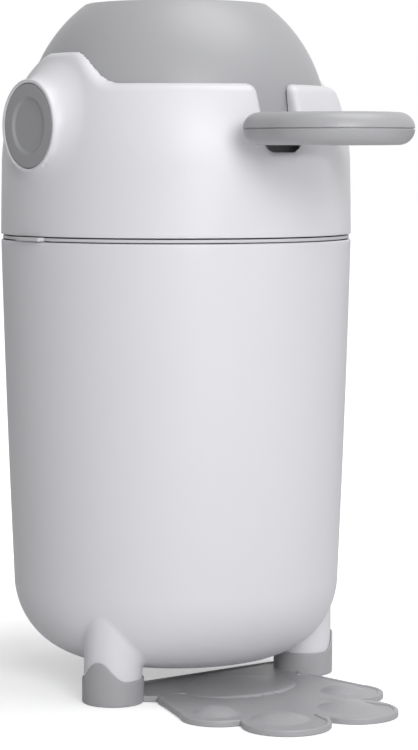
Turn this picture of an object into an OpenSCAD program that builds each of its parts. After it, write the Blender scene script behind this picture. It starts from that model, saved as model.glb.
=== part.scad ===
// Drop-and-flip nappy bin. The origin is on the floor, midway between the two front feet.
// +Z is up, the handle and the foot plate point along -Y, and the drum turns about X.

/* [Drum] */
// Height of the drum's turning axis above the body's top edge
axis_rise = 88.5; // [86:0.5:91]
// Radius of the round drum
drum_r = 120; // [119:0.5:121]
// Wall of the drum's half shells
drum_wall = 2.6; // [2:0.1:3]
// Width of the drum's flat ring round each mouth ring
mouth_land = 3.5; // [2.5:0.1:5]
// Rounding where the drum's flat meets its curved side
drum_lip_r = 4; // [2:0.5:5]
// Bore radius of the straight chamber in the drum
chamber_r = 62; // [54:0.5:62]
// Wall of the chamber tube
chamber_wall = 2; // [1.5:0.1:2.4]
// Thickness of each mouth ring
rim_ring_h = 3.2; // [2.5:0.1:4]
// How far a mouth ring overhangs the chamber to hold the piston
rim_overhang = 3; // [2:0.5:6]

/* [Piston] */
// Height of the piston
piston_h = 44; // [36:1:60]
// Radial play of the piston's body in the chamber
piston_play = 0.5; // [0.4:0.05:1]
// Running play of the wiping rings in the chamber
seal_play = 0.05; // [0.03:0.01:0.1]
// Height of a wiping ring
piston_seal_h = 4; // [3:0.5:6]
// Depth of the groove that holds a wiping ring
piston_groove = 1.8; // [1:0.1:2]
// Wall of the piston
piston_wall = 2.6; // [2.2:0.1:4]

/* [Pivots] */
// Radius of the round pivot covers
cap_r = 32.2; // [31:0.1:36]
// How far the face of a pivot cover stands out past the collar's lower edge
cap_proud = 2; // [1:0.5:3.5]
// Thickness of a pivot cover
cap_t = 4.5; // [4:0.5:6]
// Radius of the recess in a pivot cover
cap_dish_r = 22; // [16:0.5:26]
// Depth of that recess
cap_dish_depth = 1.6; // [0.8:0.1:2.2]
// Radius of a drum journal
journal_r = 26; // [22:0.5:27]
// Wall of a drum journal
journal_wall = 6; // [4:0.5:8]
// Running play of a journal in its bush
bush_play = 0.06; // [0.03:0.01:0.1]
// Wall of a bush
bush_wall = 4; // [3:0.5:4.5]
// White rim around a pivot cover
boss_rim = 2.2; // [2:0.1:4]
// Gap around a pivot cover
cap_gap = 0.5; // [0.4:0.1:1]
// Fillet at the foot of a pivot boss
boss_fillet = 12; // [8:1:14]

/* [Collar] */
// Distance from the drum to the outside of the collar at its lower edge
collar_depth = 19.5; // [19:0.1:20.5]
// Height of the collar's top edge between the humps, above the drum's axis
collar_rise = 31.5; // [31.5:0.5:36.5]
// Rise of the hump over each pivot
hump_rise = 25; // [16:1:30]
// Half the width of a hump's flat top
hump_flat = 14; // [8:1:18]
// Width of a hump's flank
hump_flank = 50; // [40:1:60]
// Wall of the collar
collar_wall = 3.2; // [2.5:0.1:4]
// Distance from the drum's axis down to where the collar's side starts to curve in
shoulder_drop = 32.5; // [24:0.5:43]
// How far the collar narrows from its lower edge to that height
collar_taper = 0.9; // [0.5:0.1:1.5]
// Radius of the curve above that height
shoulder_r = 160; // [150:1:180]
// Rounding of the collar's top edge
top_round_r = 7; // [5:0.5:8]
// Gap between the collar and the drum
collar_gap = 1.2; // [0.8:0.1:2]
// Thickness of the round hump over the pivots
hump_wall = 4.8; // [3.8:0.1:6.8]
// Width of the handle slot
slot_w = 33; // [32:0.5:40]
// Distance from the drum's axis down to the bottom of the handle slot
slot_drop = 18.5; // [16.5:0.5:25.5]
// Corner radius at the bottom of the handle slot
slot_corner_r = 8; // [4:1:12]

/* [Cradle] */
// Wall of the dish under the drum
cradle_wall = 3; // [2.5:0.1:4]
// Radius of the opening at the dish's lower edge
dish_open_r = 81.2; // [80:0.2:86]
// Distance from the drum's axis down to the dish's flange
cradle_flange_drop = 24; // [23:0.5:28]
// Thickness of the dish's flange
cradle_flange_t = 3; // [2.5:0.5:4]
// Height of the wiping lip along the drum
cradle_seal_h = 7; // [5:0.5:10]
// Gap between the wiping lip and the drum
cradle_seal_gap = 0.3; // [0.3:0.05:0.6]

/* [Handle] */
// How far the handle's middle lies below the drum's axis
handle_drop = 3; // [0:0.5:4]
// Radius of the handle's round bar
bar_r = 12; // [10:0.5:13]
// Wall of the handle shells
bar_wall = 2.6; // [2:0.1:4]
// Distance from the drum to the middle of the handle's inner bar
handle_reach = 33; // [32:0.5:36]
// Distance from the inner bar to the middle of the handle's round end
handle_l = 41.5; // [36:0.5:55]
// Radius of the round end, at the middle of the bar
handle_arc_r = 46.5; // [42:0.5:50]
// Radius of the inner corners, at the middle of the bar
handle_corner_r = 15; // [14:0.5:20]
// Gap in the parting line between the two shells
parting = 0.6; // [0.4:0.1:1]
// Width of the neck between drum and handle
neck_w = 28; // [24:0.5:30]
// Height of the neck
neck_h = 16; // [14:0.5:19]
// Width of the tenon that enters the drum
tenon_w = 20; // [14:0.5:22]
// Height of the tenon that enters the drum
tenon_h = 11; // [8:0.5:12]

/* [Bag ring] */
// How far the visible band in the seam lies inside the body's top edge
band_inset = 1.4; // [0.8:0.1:2.2]
// Thickness of the band
band_t = 3.7; // [3.5:0.1:4.2]
// Width of the bag ring inside the outer face of its skirt
ring_ledge = 20.6; // [16:0.2:32]
// Room between the body's wall and the skirt that holds the bag
skirt_gap = 3.9; // [3.5:0.1:6]
// Wall of the skirt
skirt_wall = 2.4; // [2:0.1:3]
// Depth of the skirt below the band
skirt_h = 20; // [14:1:30]
// Half the width of the latch tab
tab_half_w = 15; // [12:0.5:24]
// How far the latch tab stands out past the body's top edge
tab_proud = 4.3; // [3:0.1:6.5]
// Travel of the latch tab
tab_travel = 2.5; // [1.5:0.1:3]

/* [Body] */
// Height of the body's top edge
body_top_z = 355; // [350:0.5:357]
// How far the body's top edge lies inside the collar's lower edge
body_step = 0.2; // [0:0.1:0.5]
// How far the body narrows from its top edge to half height
mid_taper = 3.7; // [2.5:0.1:5]
// Height at which that middle radius is measured
body_mid_z = 225; // [180:1:260]
// How far the body narrows from its top edge to its bottom rounding
low_taper = 9; // [7.5:0.1:10]
// Radius of the bottom rounding
body_round_r = 64; // [50:1:66]
// Height of the underside of the body
body_floor_z = 21.5; // [20:0.5:28]
// Wall of the body
body_wall = 2.8; // [2.2:0.1:3.5]

/* [Feet] */
// How far the front feet lie inside the body's lower side
front_foot_inset = 34.8; // [34:0.2:42]
// Distance of the front feet in front of the middle
front_foot_y = 46; // [42:0.5:48]
// How far the rear foot lies inside the body's lower side
rear_foot_inset = 44.3; // [35:0.1:52]
// Radius of a leg
leg_r = 22.5; // [20:0.5:22.5]
// Outer radius of a boot
boot_r = 24; // [23.8:0.1:26]
// Height of the boot's low edge
boot_low_h = 19.4; // [16:0.2:20]
// Height of the boot's tongue
boot_tongue_h = 34; // [30:0.5:44]
// Thickness of the boot's sole
boot_sole = 7; // [6:0.5:9]

/* [Foot plate] */
// Height of the plate's raised rim
plate_rim_h = 5; // [4.5:0.1:6]
// Thickness of the plate inside the rim
plate_t = 4.2; // [3.4:0.1:4.8]
// Width of the raised rim
plate_rim_w = 4; // [3:0.5:6]
// Distance of the plate's rear edge in front of the middle
plate_rear_y = 17; // [14:0.5:20]
// Sideways distance of the outer toes
outer_toe_x = 63; // [58:0.5:66]
// Forward distance of the outer toes
outer_toe_y = 140; // [136:0.5:146]
// Sideways distance of the inner toes
inner_toe_x = 33; // [28:0.5:36]
// Forward distance of the inner toes
inner_toe_y = 185; // [178:0.5:192]
// Distance of the main pad's middle in front of the bin's middle
pad_y = 78; // [74:0.5:82]
// Angle at which the paw leans to the latch's side
paw_lean = 7; // [0:0.5:8]
// Radius of an outer toe bump
outer_bump_r = 13.5; // [10:0.5:16]
// Radius of an inner toe bump
inner_bump_r = 16.5; // [12:0.5:19]
// Height of the toe bumps above the plate
bump_h = 4; // [2:0.5:6]
// Half length of the main pad across the plate
pad_half_x = 49; // [40:1:54]
// Half length of the main pad along the plate
pad_half_y = 37; // [28:1:39]
// Height of the main pad above the plate
pad_h = 3.4; // [3:0.1:5]
// Radius of a non-slip disc under the plate
grip_r = 10; // [6:0.5:12]
// Thickness of a non-slip disc
grip_t = 1.5; // [1:0.1:2]

/* [Screws] */
// Radius of a foot screw
foot_screw_r = 2.4; // [2:0.1:3]
// Length of a foot screw
foot_screw_l = 22; // [16:1:24]
// Radius of a small screw
small_screw_r = 1.5; // [1.2:0.1:1.8]
// Length of a small screw
small_screw_l = 16; // [12:1:20]
// Play around a screw in its hole
screw_play = 0.1; // [0.05:0.05:0.2]

/* [Hinge] */
// How far the collar hinge lies outside the collar's lower edge
hinge_proud = 5.1; // [4.5:0.1:8]
// Radius of a hinge knuckle
knuckle_r = 4; // [3.5:0.1:4.5]
// Length of the collar's hinge knuckle
knuckle_l = 24; // [16:1:32]
// Length of each of the ring's hinge knuckles
ring_knuckle_l = 12; // [8:1:16]
// Radius of the hinge pin
pin_r = 1.6; // [1.2:0.1:2]
// Running play of the hinge pin in the collar's knuckle
pin_play = 0.06; // [0.03:0.01:0.1]

/* [Hidden] */
$fn = 128;

white = "#e6e6ea";
grey = "#9a9aa2";
light_grey = "#b9b9c0";
dark_grey = "#5b5b62";
steel = "#b4b7bc";

// Large enough to reach past the whole bin in a cut
far = 400;
// Small gap that keeps two pieces of one body apart
fit = 0.15;
// Small gap between pieces that move on each other
clear = 0.3;
// Overlap at which two curves that would only touch cross instead
lap = 0.02;

// Widths that follow the drum
drum_axis_z = body_top_z + axis_rise;
cut_r = drum_r + collar_gap;
collar_r = drum_r + collar_depth;
body_top_r = collar_r - body_step;
body_mid_r = body_top_r - mid_taper;
body_low_r = body_top_r - low_taper;
front_foot_x = body_low_r - front_foot_inset;
rear_foot_y = body_low_r - rear_foot_inset;

// Drum
tube_ledge = 2.5;
flange_in_r = chamber_r + chamber_wall + tube_ledge;
lip_x = flange_in_r + mouth_land;
lip_z = sqrt(pow(drum_r - drum_lip_r, 2) - lip_x * lip_x);
drum_half_h = lip_z + drum_lip_r;
tube_half_h = drum_half_h - rim_ring_h;
rim_skirt_h = 9;
drum_screw_inset = 9;
drum_screw_r = drum_r - drum_wall - drum_screw_inset;
drum_boss_r = 4;
drum_boss_h = 14;
drum_rib_t = 2.4;

// Piston, at rest on the lower mouth ring
piston_low = -tube_half_h + clear;
piston_r = chamber_r - piston_play;
seal_edge = 5;
seal_low_z = piston_low + seal_edge;
seal_high_z = piston_low + piston_h - seal_edge - piston_seal_h;
cover_t = 2.4;

// Pivots
cap_face_x = collar_r + cap_proud;
hump_r = cut_r + hump_wall;
boss_r = cap_r + cap_gap + boss_rim;
boss_face_x = cap_face_x + 0.3;
cap_back_x = cap_face_x - cap_t;
bush_out_r = journal_r + bush_play + bush_wall;
bush_in_x = drum_r + collar_gap + 2;
bush_end_x = cap_back_x - 1.8;
journal_depth = 16;
journal_in_x = drum_r - journal_depth;
journal_flange = 6;
spigot_l = 8;
spigot_wall = 2.5;
fillet_reach = boss_r + boss_fillet;
fillet_x = sqrt(pow(hump_r + boss_fillet, 2) - fillet_reach * fillet_reach);

// Collar
collar_low_z = body_top_z + 2 * clear + band_t;
collar_top_z = drum_axis_z + collar_rise;
shoulder_z = drum_axis_z - shoulder_drop;
slot_low_z = drum_axis_z - slot_drop;
arc_x = collar_r - collar_taper - shoulder_r;
arc_rise = collar_top_z - top_round_r - shoulder_z;
top_round_x = arc_x + sqrt(shoulder_r * shoulder_r - arc_rise * arc_rise) - top_round_r;
section_in_r = cut_r / 2;
roof_z = drum_axis_z + 2.5;
roof_lap = 10;
roof_r = cut_r + roof_lap;
post_r = 4;
post_ring_r = cut_r + 2 * post_r;
post_angles = [45:90:315];
hump_band = 12;
hump_depth = 20;
edge_skim = 0.2;

// Cradle
cradle_r = cut_r + cradle_wall;
cradle_drop = sqrt(cut_r * cut_r - dish_open_r * dish_open_r);
flange_z = drum_axis_z - cradle_flange_drop;
flange_play = 2.4;
flange_r = collar_r - collar_wall - flange_play;
flange_lap = 20;
seal_seat = 1.4;

// Handle
handle_z = drum_axis_z - handle_drop;
handle_in = drum_r + handle_reach;
handle_out = handle_in + handle_l;
handle_side_x = handle_arc_r;
corner_x = handle_side_x - handle_corner_r;
corner_y = handle_in + handle_corner_r;
hollow_r = bar_r - bar_wall;
tenon_reach = 10;
tenon_in = drum_r - tenon_reach;
neck_pin_r = 2;
neck_pin_y = tenon_in + 4;
small_head_r = 3;
small_head_h = 1.8;
handle_post_r = 4;
handle_screw_z = 3 - bar_r;
handle_screw_rest = 8;
handle_screw_l = 2 * bar_r - handle_screw_rest;

// Ring and seam
band_low_z = body_top_z + clear;
band_top_z = band_low_z + band_t;
band_r = body_top_r - band_inset;
skirt_r = body_top_r - body_wall - skirt_gap;
ring_in_r = skirt_r - ring_ledge;
gasket_z = band_low_z - skirt_h + 6;
gasket_h = 4;
body_lean = (body_top_r - body_mid_r) / (body_top_z - body_mid_z);
gasket_r = body_top_r - body_wall - body_lean * (body_top_z - gasket_z) - clear;
groove_depth = 1;
tab_t = 2.9;
tab_low_z = band_low_z + 0.35;
tab_l = 16.6;
tab_tip_x = body_top_r + tab_proud;
tab_in_x = tab_tip_x - tab_l;
tongue_t = 1;
tongue_w = 3;
tongue_z = band_low_z + 0.8 + clear;
hinge_x = collar_r + hinge_proud;
knuckle_lift = 0.2;
hinge_z = body_top_z + knuckle_r + knuckle_lift;
ear_root = 10;
ear_root_x = ring_in_r + ear_root;
ear_step = 0.4;

// Feet
feet = [[-front_foot_x, -front_foot_y], [front_foot_x, -front_foot_y], [0, rear_foot_y]];
leg_top_z = body_floor_z + body_round_r - 8;
leg_hollow_r = leg_r - body_wall;
leg_floor_t = 14;
screw_bore_h = 50;
tongue_rise = boot_tongue_h - boot_low_h;
tongue_flat = 1.5;
tongue_flank = 19;
head_r = 5;
head_h = 2.4;
head_inset = 0.6;
plate_gap = 0.2;

// Foot plate
side_x = 57;
side_y = 86;
side_r = 22;
lobe_r = 29;
big_lobe_r = 33.6;
corner_r = 12;
corner_inset = 11.5;
ear_r = 14;
lobe_y = outer_toe_y + 3;
big_lobe_y = inner_toe_y + 9;
lean_y = pad_y + 26;
flank_inset = 1;
pad_ball_r = 400;

// Height of a soft flank, from 1 down to 0, at a share of its width
function flank(share) = (1 + cos(180 * share)) / 2;

// Outline under a hump: flat top, two soft flanks and a level line on both sides
module hump_outline(low, rise, flat, width, depth) {
    steps = 20;
    right = [for (i = [0:steps]) [flat + width * i / steps, low + rise * flank(i / steps)]];
    left = [for (i = [steps:-1:0]) [-flat - width * i / steps, low + rise * flank(i / steps)]];
    polygon(concat(
        [[-far, low]], left, right,
        [[far, low], [far, low - depth], [-far, low - depth]]
    ));
}

// Places a shape at each side, turned so that its own Z points outward along X
module at_side(side) {
    mirror([side < 0 ? 1 : 0, 0, 0]) rotate([0, 90, 0]) children();
}

module drum_frame() {
    translate([0, 0, drum_axis_z]) children();
}

// Moves what is drawn round the bin's own axis into the part's frame
module in_frame() {
    translate([0, front_foot_y, 0]) children();
}

// ---- Body and base ----

module body_outline(inset) {
    x = body_low_r - body_round_r;
    z = body_floor_z + body_round_r;
    translate([0, body_floor_z + inset]) square([x, body_round_r - inset]);
    intersection() {
        translate([x, z]) circle(r = body_round_r - inset);
        translate([x, body_floor_z]) square([body_round_r, body_round_r]);
    }
    polygon([
        [0, z], [body_low_r - inset, z], [body_mid_r - inset, body_mid_z],
        [body_top_r - inset, body_top_z], [body_top_r - inset, body_top_z + inset],
        [0, body_top_z + inset]
    ]);
}

// Section of the body's wall between two heights
module body_section(low, high) {
    intersection() {
        difference() {
            body_outline(0);
            body_outline(body_wall);
        }
        translate([0, low]) square([far, high - low]);
    }
}

// Side wall of the body, above its rounding
module bin_body() {
    color(white) in_frame() rotate_extrude() body_section(body_floor_z + body_round_r, body_top_z);
}

// Rounded bottom of the body, moulded in one with the side wall
module bin_bowl() {
    color(white) in_frame() rotate_extrude() body_section(body_floor_z, body_floor_z + body_round_r);
}

// Hollow leg that ends on the body's rounded underside
module leg_at(foot) {
    color(white) in_frame() difference() {
        translate([foot[0], foot[1], boot_sole]) difference() {
            cylinder(r = leg_r, h = leg_top_z - boot_sole);
            translate([0, 0, leg_floor_t]) cylinder(r = leg_hollow_r, h = leg_top_z);
            translate([0, 0, -1]) cylinder(r = foot_screw_r + screw_play, h = leg_floor_t + 2);
        }
        rotate_extrude() body_outline(0);
    }
}

module leg_left() {
    leg_at(feet[0]);
}

module leg_right() {
    leg_at(feet[1]);
}

module leg_rear() {
    leg_at(feet[2]);
}

// Sole and wall of a boot whose tongue points along its own +X
module boot_shape() {
    difference() {
        intersection() {
            cylinder(r = boot_r, h = boot_tongue_h + 1);
            union() {
                translate([-boot_r - 1, -boot_r - 1, 0]) cube([2 * boot_r + 2, 2 * boot_r + 2, boot_low_h]);
                rotate([90, 0, 90]) linear_extrude(height = boot_r + 1)
                    hump_outline(boot_low_h, tongue_rise, tongue_flat, tongue_flank, boot_low_h);
            }
        }
        translate([0, 0, boot_sole]) cylinder(r = leg_r + clear, h = boot_tongue_h);
        translate([0, 0, -1]) cylinder(r = foot_screw_r + screw_play, h = boot_sole + 2);
        translate([0, 0, -1]) cylinder(r = head_r + clear, h = 1 + head_h + head_inset);
    }
}

module boot_at(foot) {
    color(grey) in_frame() difference() {
        translate([foot[0], foot[1], 0]) rotate([0, 0, atan2(foot[1], foot[0])]) boot_shape();
        translate([0, 0, -1]) linear_extrude(height = plate_rim_h + 1 + plate_gap) plate_outline(plate_gap);
    }
}

module boot_left() {
    boot_at(feet[0]);
}

module boot_right() {
    boot_at(feet[1]);
}

module boot_rear() {
    boot_at(feet[2]);
}

// Point of the paw at a distance out to one side and in front of the middle
function paw_point(side, x, y) = [side * x + tan(paw_lean) * (lean_y - y), -y];

// Corners of the paw's core on one side, with the flank from hip to toe a little inside both circles
function core_side(side, grow) =
    let (
        hip = paw_point(side, side_x, side_y),
        toe = paw_point(side, outer_toe_x, lobe_y),
        along = atan2(toe[1] - hip[1], toe[0] - hip[0]),
        turn = along + side * (90 + asin((lobe_r - side_r) / norm(toe - hip))),
        out = [cos(turn), sin(turn)]
    ) [
        [side * (front_foot_x - corner_inset), -plate_rear_y + grow - lap],
        [side * front_foot_x, -front_foot_y],
        hip,
        hip + (side_r + grow - flank_inset) * out,
        toe + (lobe_r + grow - flank_inset) * out,
        toe,
        paw_point(side, inner_toe_x, big_lobe_y)
    ];

// Paw outline, grown or shrunk all round
module plate_outline(grow) {
    left = core_side(-1, grow);
    for (side = [-1, 1]) {
        translate(paw_point(side, outer_toe_x, lobe_y)) circle(r = lobe_r + grow);
        translate(paw_point(side, side_x, side_y)) circle(r = side_r + grow);
        translate(paw_point(side, inner_toe_x, big_lobe_y)) circle(r = big_lobe_r + grow);
        translate([side * (front_foot_x - corner_inset), -plate_rear_y - corner_r])
            circle(r = corner_r + grow);
        translate([side * front_foot_x, -front_foot_y]) circle(r = ear_r + grow);
    }
    polygon(concat(core_side(1, grow), [for (i = [len(left) - 1:-1:0]) left[i]]));
}

// Low round bump with a circle of the given radius where it leaves the plate
module toe_bump(r) {
    ball = (r * r + bump_h * bump_h) / (2 * bump_h);
    intersection() {
        translate([0, 0, plate_t + bump_h - ball]) sphere(r = ball);
        translate([0, 0, grip_t + 1]) cylinder(r = r, h = plate_t + bump_h);
    }
}

// Oval pad whose crown is part of a large ball
module main_pad() {
    steps = 60;
    intersection() {
        translate([pad_place[0], pad_place[1], 0]) linear_extrude(height = plate_t + pad_h + 1) polygon([
            for (i = [0:steps - 1]) [pad_half_x * cos(360 * i / steps), pad_half_y * sin(360 * i / steps)]
        ]);
        translate([pad_place[0], pad_place[1], plate_t + pad_h - pad_ball_r]) sphere(r = pad_ball_r);
        translate([-far / 2, -far / 2, plate_t - 1]) cube([far, far, pad_h + 2]);
    }
}

pad_place = paw_point(0, 0, pad_y);
outer_toes = [for (side = [-1, 1]) paw_point(side, outer_toe_x, outer_toe_y)];
inner_toes = [for (side = [-1, 1]) paw_point(side, inner_toe_x, inner_toe_y)];
grip_places = concat(outer_toes, inner_toes, [pad_place]);

module foot_plate() {
    color(grey) in_frame() difference() {
        union() {
            difference() {
                linear_extrude(height = plate_rim_h) plate_outline(0);
                translate([0, 0, plate_t]) linear_extrude(height = plate_rim_h) plate_outline(-plate_rim_w);
            }
            for (p = outer_toes) translate([p[0], p[1], 0]) toe_bump(outer_bump_r);
            for (p = inner_toes) translate([p[0], p[1], 0]) toe_bump(inner_bump_r);
            main_pad();
        }
        for (p = grip_places) translate([p[0], p[1], -1]) cylinder(r = grip_r, h = grip_t + 1);
        for (side = [-1, 1]) translate([side * front_foot_x, -front_foot_y, -1]) {
            cylinder(r = foot_screw_r + screw_play, h = screw_bore_h);
            cylinder(r = head_r + clear, h = 1 + head_h + head_inset);
        }
    }
}

module grip_pads() {
    color(dark_grey) in_frame() for (p = grip_places) translate([p[0], p[1], 0])
        cylinder(r = grip_r, h = grip_t);
}

module screw(r, l, head, head_height) {
    cylinder(r = head, h = head_height);
    cylinder(r = r, h = l);
}

module foot_screws() {
    color(steel) in_frame() for (foot = feet) translate([foot[0], foot[1], head_inset])
        screw(foot_screw_r, foot_screw_l, head_r, head_h);
}

// ---- Bag ring in the seam ----

// Room for the latch tab, from the tab's inner end outward
module tab_pocket() {
    translate([-far, -tab_half_w - clear, band_low_z - 1])
        cube([far - tab_in_x + tab_travel + clear, 2 * (tab_half_w + clear), band_t + 2]);
}

module hinge_barrel(y, l) {
    translate([hinge_x, y, hinge_z]) rotate([-90, 0, 0]) cylinder(r = knuckle_r, h = l);
}

module hinge_hole(r) {
    translate([hinge_x, -far, hinge_z]) rotate([-90, 0, 0]) cylinder(r = r, h = 2 * far);
}

module bag_ring() {
    ear_y = knuckle_l / 2 + clear;
    color(light_grey) in_frame() difference() {
        union() {
            rotate_extrude() difference() {
                union() {
                    translate([ring_in_r, band_low_z]) square([band_r - ring_in_r, band_t]);
                    translate([skirt_r - skirt_wall, band_low_z - skirt_h])
                        square([skirt_wall, skirt_h + 1]);
                }
                translate([skirt_r - groove_depth, gasket_z]) square([2 * groove_depth, gasket_h]);
            }
            for (side = [-1, 1]) {
                y = side > 0 ? ear_y : -ear_y - ring_knuckle_l;
                hinge_barrel(y, ring_knuckle_l);
                translate([ear_root_x, y, band_low_z])
                    cube([hinge_x - ear_root_x, ring_knuckle_l, band_t - ear_step]);
            }
        }
        tab_pocket();
        translate([-tab_in_x - tab_travel, -tab_half_w - tongue_w - 2 * clear, tongue_z - clear])
            cube([3 * tongue_w, 2 * (tab_half_w + tongue_w + 2 * clear), tongue_t + 2 * clear]);
        hinge_hole(pin_r);
    }
}

module ring_gasket() {
    color(dark_grey) in_frame() translate([0, 0, gasket_z]) difference() {
        cylinder(r = gasket_r, h = gasket_h);
        translate([0, 0, -1]) cylinder(r = skirt_r - groove_depth, h = gasket_h + 2);
    }
}

// Tab that is pressed in, with two side tongues that run in the ring
module release_latch() {
    color(light_grey) in_frame() {
        intersection() {
            translate([-tab_tip_x, -tab_half_w, tab_low_z])
                cube([tab_tip_x - tab_in_x, 2 * tab_half_w, tab_t]);
            translate([0, 0, tab_low_z - 1]) cylinder(r = tab_tip_x, h = tab_t + 2);
        }
        translate([-tab_in_x - tab_travel + clear, -tab_half_w - tongue_w, tongue_z])
            cube([tongue_w, 2 * (tab_half_w + tongue_w), tongue_t]);
    }
}

module hinge_pin() {
    half = knuckle_l / 2 + clear + ring_knuckle_l;
    color(steel) in_frame() translate([hinge_x, -half, hinge_z]) rotate([-90, 0, 0])
        cylinder(r = pin_r, h = 2 * half);
}

// ---- Collar ----

// Half section of the collar, right of the axis
module collar_section() {
    difference() {
        union() {
            polygon([
                [section_in_r, collar_low_z], [collar_r, collar_low_z],
                [collar_r - collar_taper, shoulder_z], [section_in_r, shoulder_z]
            ]);
            intersection() {
                translate([arc_x, shoulder_z]) circle(r = shoulder_r, $fn = 360);
                translate([section_in_r, shoulder_z]) square([far, arc_rise]);
            }
            translate([section_in_r, shoulder_z])
                square([top_round_x - section_in_r, collar_top_z - shoulder_z]);
            translate([top_round_x, collar_top_z - top_round_r]) circle(r = top_round_r);
        }
        translate([0, drum_axis_z]) circle(r = cut_r, $fn = 360);
        polygon([
            [0, collar_low_z - 1], [collar_r - collar_wall, collar_low_z - 1],
            [collar_r - collar_taper - collar_wall, shoulder_z], [roof_r, roof_z], [0, roof_z]
        ]);
    }
}

// Boss and fillet around a pivot, with Z along the pivot's axis
module boss_shape() {
    rotate_extrude() {
        translate([bush_out_r, bush_in_x]) square([boss_r - bush_out_r, boss_face_x - bush_in_x]);
        difference() {
            polygon([
                [boss_r - 1, fillet_x], [fillet_reach, fillet_x],
                [fillet_reach, fillet_x] * (hump_r / (hump_r + boss_fillet)),
                [boss_r - 1, bush_in_x + 2]
            ]);
            translate([fillet_reach, fillet_x]) circle(r = boss_fillet);
        }
    }
}

module slot_cut() {
    half = slot_w / 2;
    translate([0, far, 0]) rotate([90, 0, 0]) linear_extrude(height = 2 * far) {
        translate([-half, slot_low_z + slot_corner_r]) square([slot_w, far]);
        translate([-half + slot_corner_r, slot_low_z]) square([slot_w - 2 * slot_corner_r, far]);
        for (side = [-1, 1]) translate([side * (half - slot_corner_r), slot_low_z + slot_corner_r])
            circle(r = slot_corner_r);
    }
}

module collar_shell() {
    color(white) in_frame() difference() {
        union() {
            difference() {
                union() {
                    rotate_extrude() collar_section();
                    drum_frame() intersection() {
                        sphere(r = hump_r);
                        translate([0, 0, collar_top_z - drum_axis_z - hump_band])
                            cylinder(r = hump_r, h = hump_rise + 2 * hump_band);
                    }
                    for (side = [-1, 1]) drum_frame() at_side(side) boss_shape();
                }
                drum_frame() sphere(r = cut_r);
                slot_cut();
                // everything above the humped top edge
                rotate([90, 0, 90]) translate([0, 0, -far]) linear_extrude(height = 2 * far) difference() {
                    translate([-far, collar_top_z - 1]) square([2 * far, far]);
                    hump_outline(collar_top_z + edge_skim, hump_rise, hump_flat, hump_flank, hump_depth);
                }
            }
            for (a = post_angles) rotate([0, 0, a]) translate([post_ring_r, 0, flange_z])
                cylinder(r = post_r, h = roof_z - flange_z + 1);
            hinge_barrel(-knuckle_l / 2, knuckle_l);
            translate([collar_r - collar_wall, -knuckle_l / 2, collar_low_z])
                cube([hinge_x - collar_r + collar_wall, knuckle_l, hinge_z + knuckle_r - collar_low_z]);
        }
        for (side = [-1, 1]) drum_frame() at_side(side) {
            cylinder(r = bush_out_r, h = far);
            translate([0, 0, cap_back_x - 0.8]) cylinder(r = cap_r + cap_gap, h = far);
        }
        for (a = post_angles) rotate([0, 0, a]) translate([post_ring_r, 0, flange_z - 1])
            cylinder(r = small_screw_r + screw_play, h = small_screw_l + 1);
        hinge_hole(pin_r + pin_play);
        // room for the hinge knuckles of the ring
        for (side = [-1, 1]) translate([
            collar_r - collar_wall - 1,
            side > 0 ? knuckle_l / 2 : -knuckle_l / 2 - ring_knuckle_l - 2 * clear,
            hinge_z - knuckle_r - 1
        ]) cube([far, ring_knuckle_l + 2 * clear, 2 * knuckle_r + 2]);
    }
}

module drum_cradle() {
    color(white) in_frame() difference() {
        union() {
            drum_frame() rotate_extrude() difference() {
                intersection() {
                    circle(r = cradle_r, $fn = 360);
                    translate([0, -cradle_drop]) square([far, cradle_drop - cradle_flange_drop]);
                }
                circle(r = cut_r, $fn = 360);
            }
            drum_frame() rotate_extrude() difference() {
                translate([cut_r - flange_lap, -cradle_flange_drop - cradle_flange_t])
                    square([flange_r - cut_r + flange_lap, cradle_flange_t]);
                circle(r = cut_r, $fn = 360);
            }
        }
        drum_frame() rotate_extrude() seal_section(0);
        for (side = [-1, 1]) drum_frame() at_side(side)
            translate([0, 0, section_in_r]) cylinder(r = fillet_reach + 1, h = far);
        for (a = post_angles) rotate([0, 0, a]) translate([post_ring_r, 0, flange_z - cradle_flange_t - 1])
            cylinder(r = small_screw_r + screw_play, h = cradle_flange_t + 2);
    }
}

// Section of the wiping lip, which reaches from inside the dish to the drum
module seal_section(gap) {
    intersection() {
        difference() {
            circle(r = cut_r + seal_seat, $fn = 360);
            circle(r = drum_r + gap, $fn = 360);
        }
        translate([0, -cradle_drop]) square([far, cradle_seal_h]);
    }
}

module cradle_seal() {
    color(dark_grey) in_frame() drum_frame() rotate_extrude() seal_section(cradle_seal_gap);
}

module bush_at(side) {
    color(light_grey) in_frame() drum_frame() at_side(side) translate([0, 0, bush_in_x]) difference() {
        cylinder(r = bush_out_r, h = bush_end_x - bush_in_x);
        translate([0, 0, -1]) cylinder(r = journal_r + bush_play, h = bush_end_x - bush_in_x + 2);
    }
}

module bush_left() {
    bush_at(-1);
}

module bush_right() {
    bush_at(1);
}

module cradle_screws() {
    color(steel) in_frame() for (a = post_angles) rotate([0, 0, a])
        translate([post_ring_r, 0, flange_z - cradle_flange_t - small_head_h])
            screw(small_screw_r, small_screw_l, small_head_r, small_head_h);
}

// ---- Drum, in a frame with its origin on the turning axis ----

// Half section of the upper half shell, right of the axis
module shell_section() {
    difference() {
        union() {
            intersection() {
                difference() {
                    circle(r = drum_r, $fn = 360);
                    circle(r = drum_r - drum_wall, $fn = 360);
                }
                square([far, lip_z * drum_r / (drum_r - drum_lip_r)]);
            }
            translate([lip_x, lip_z]) circle(r = drum_lip_r + lap);
            translate([flange_in_r, tube_half_h]) square([lip_x - flange_in_r, rim_ring_h]);
        }
        square([flange_in_r, far]);
    }
}

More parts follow.
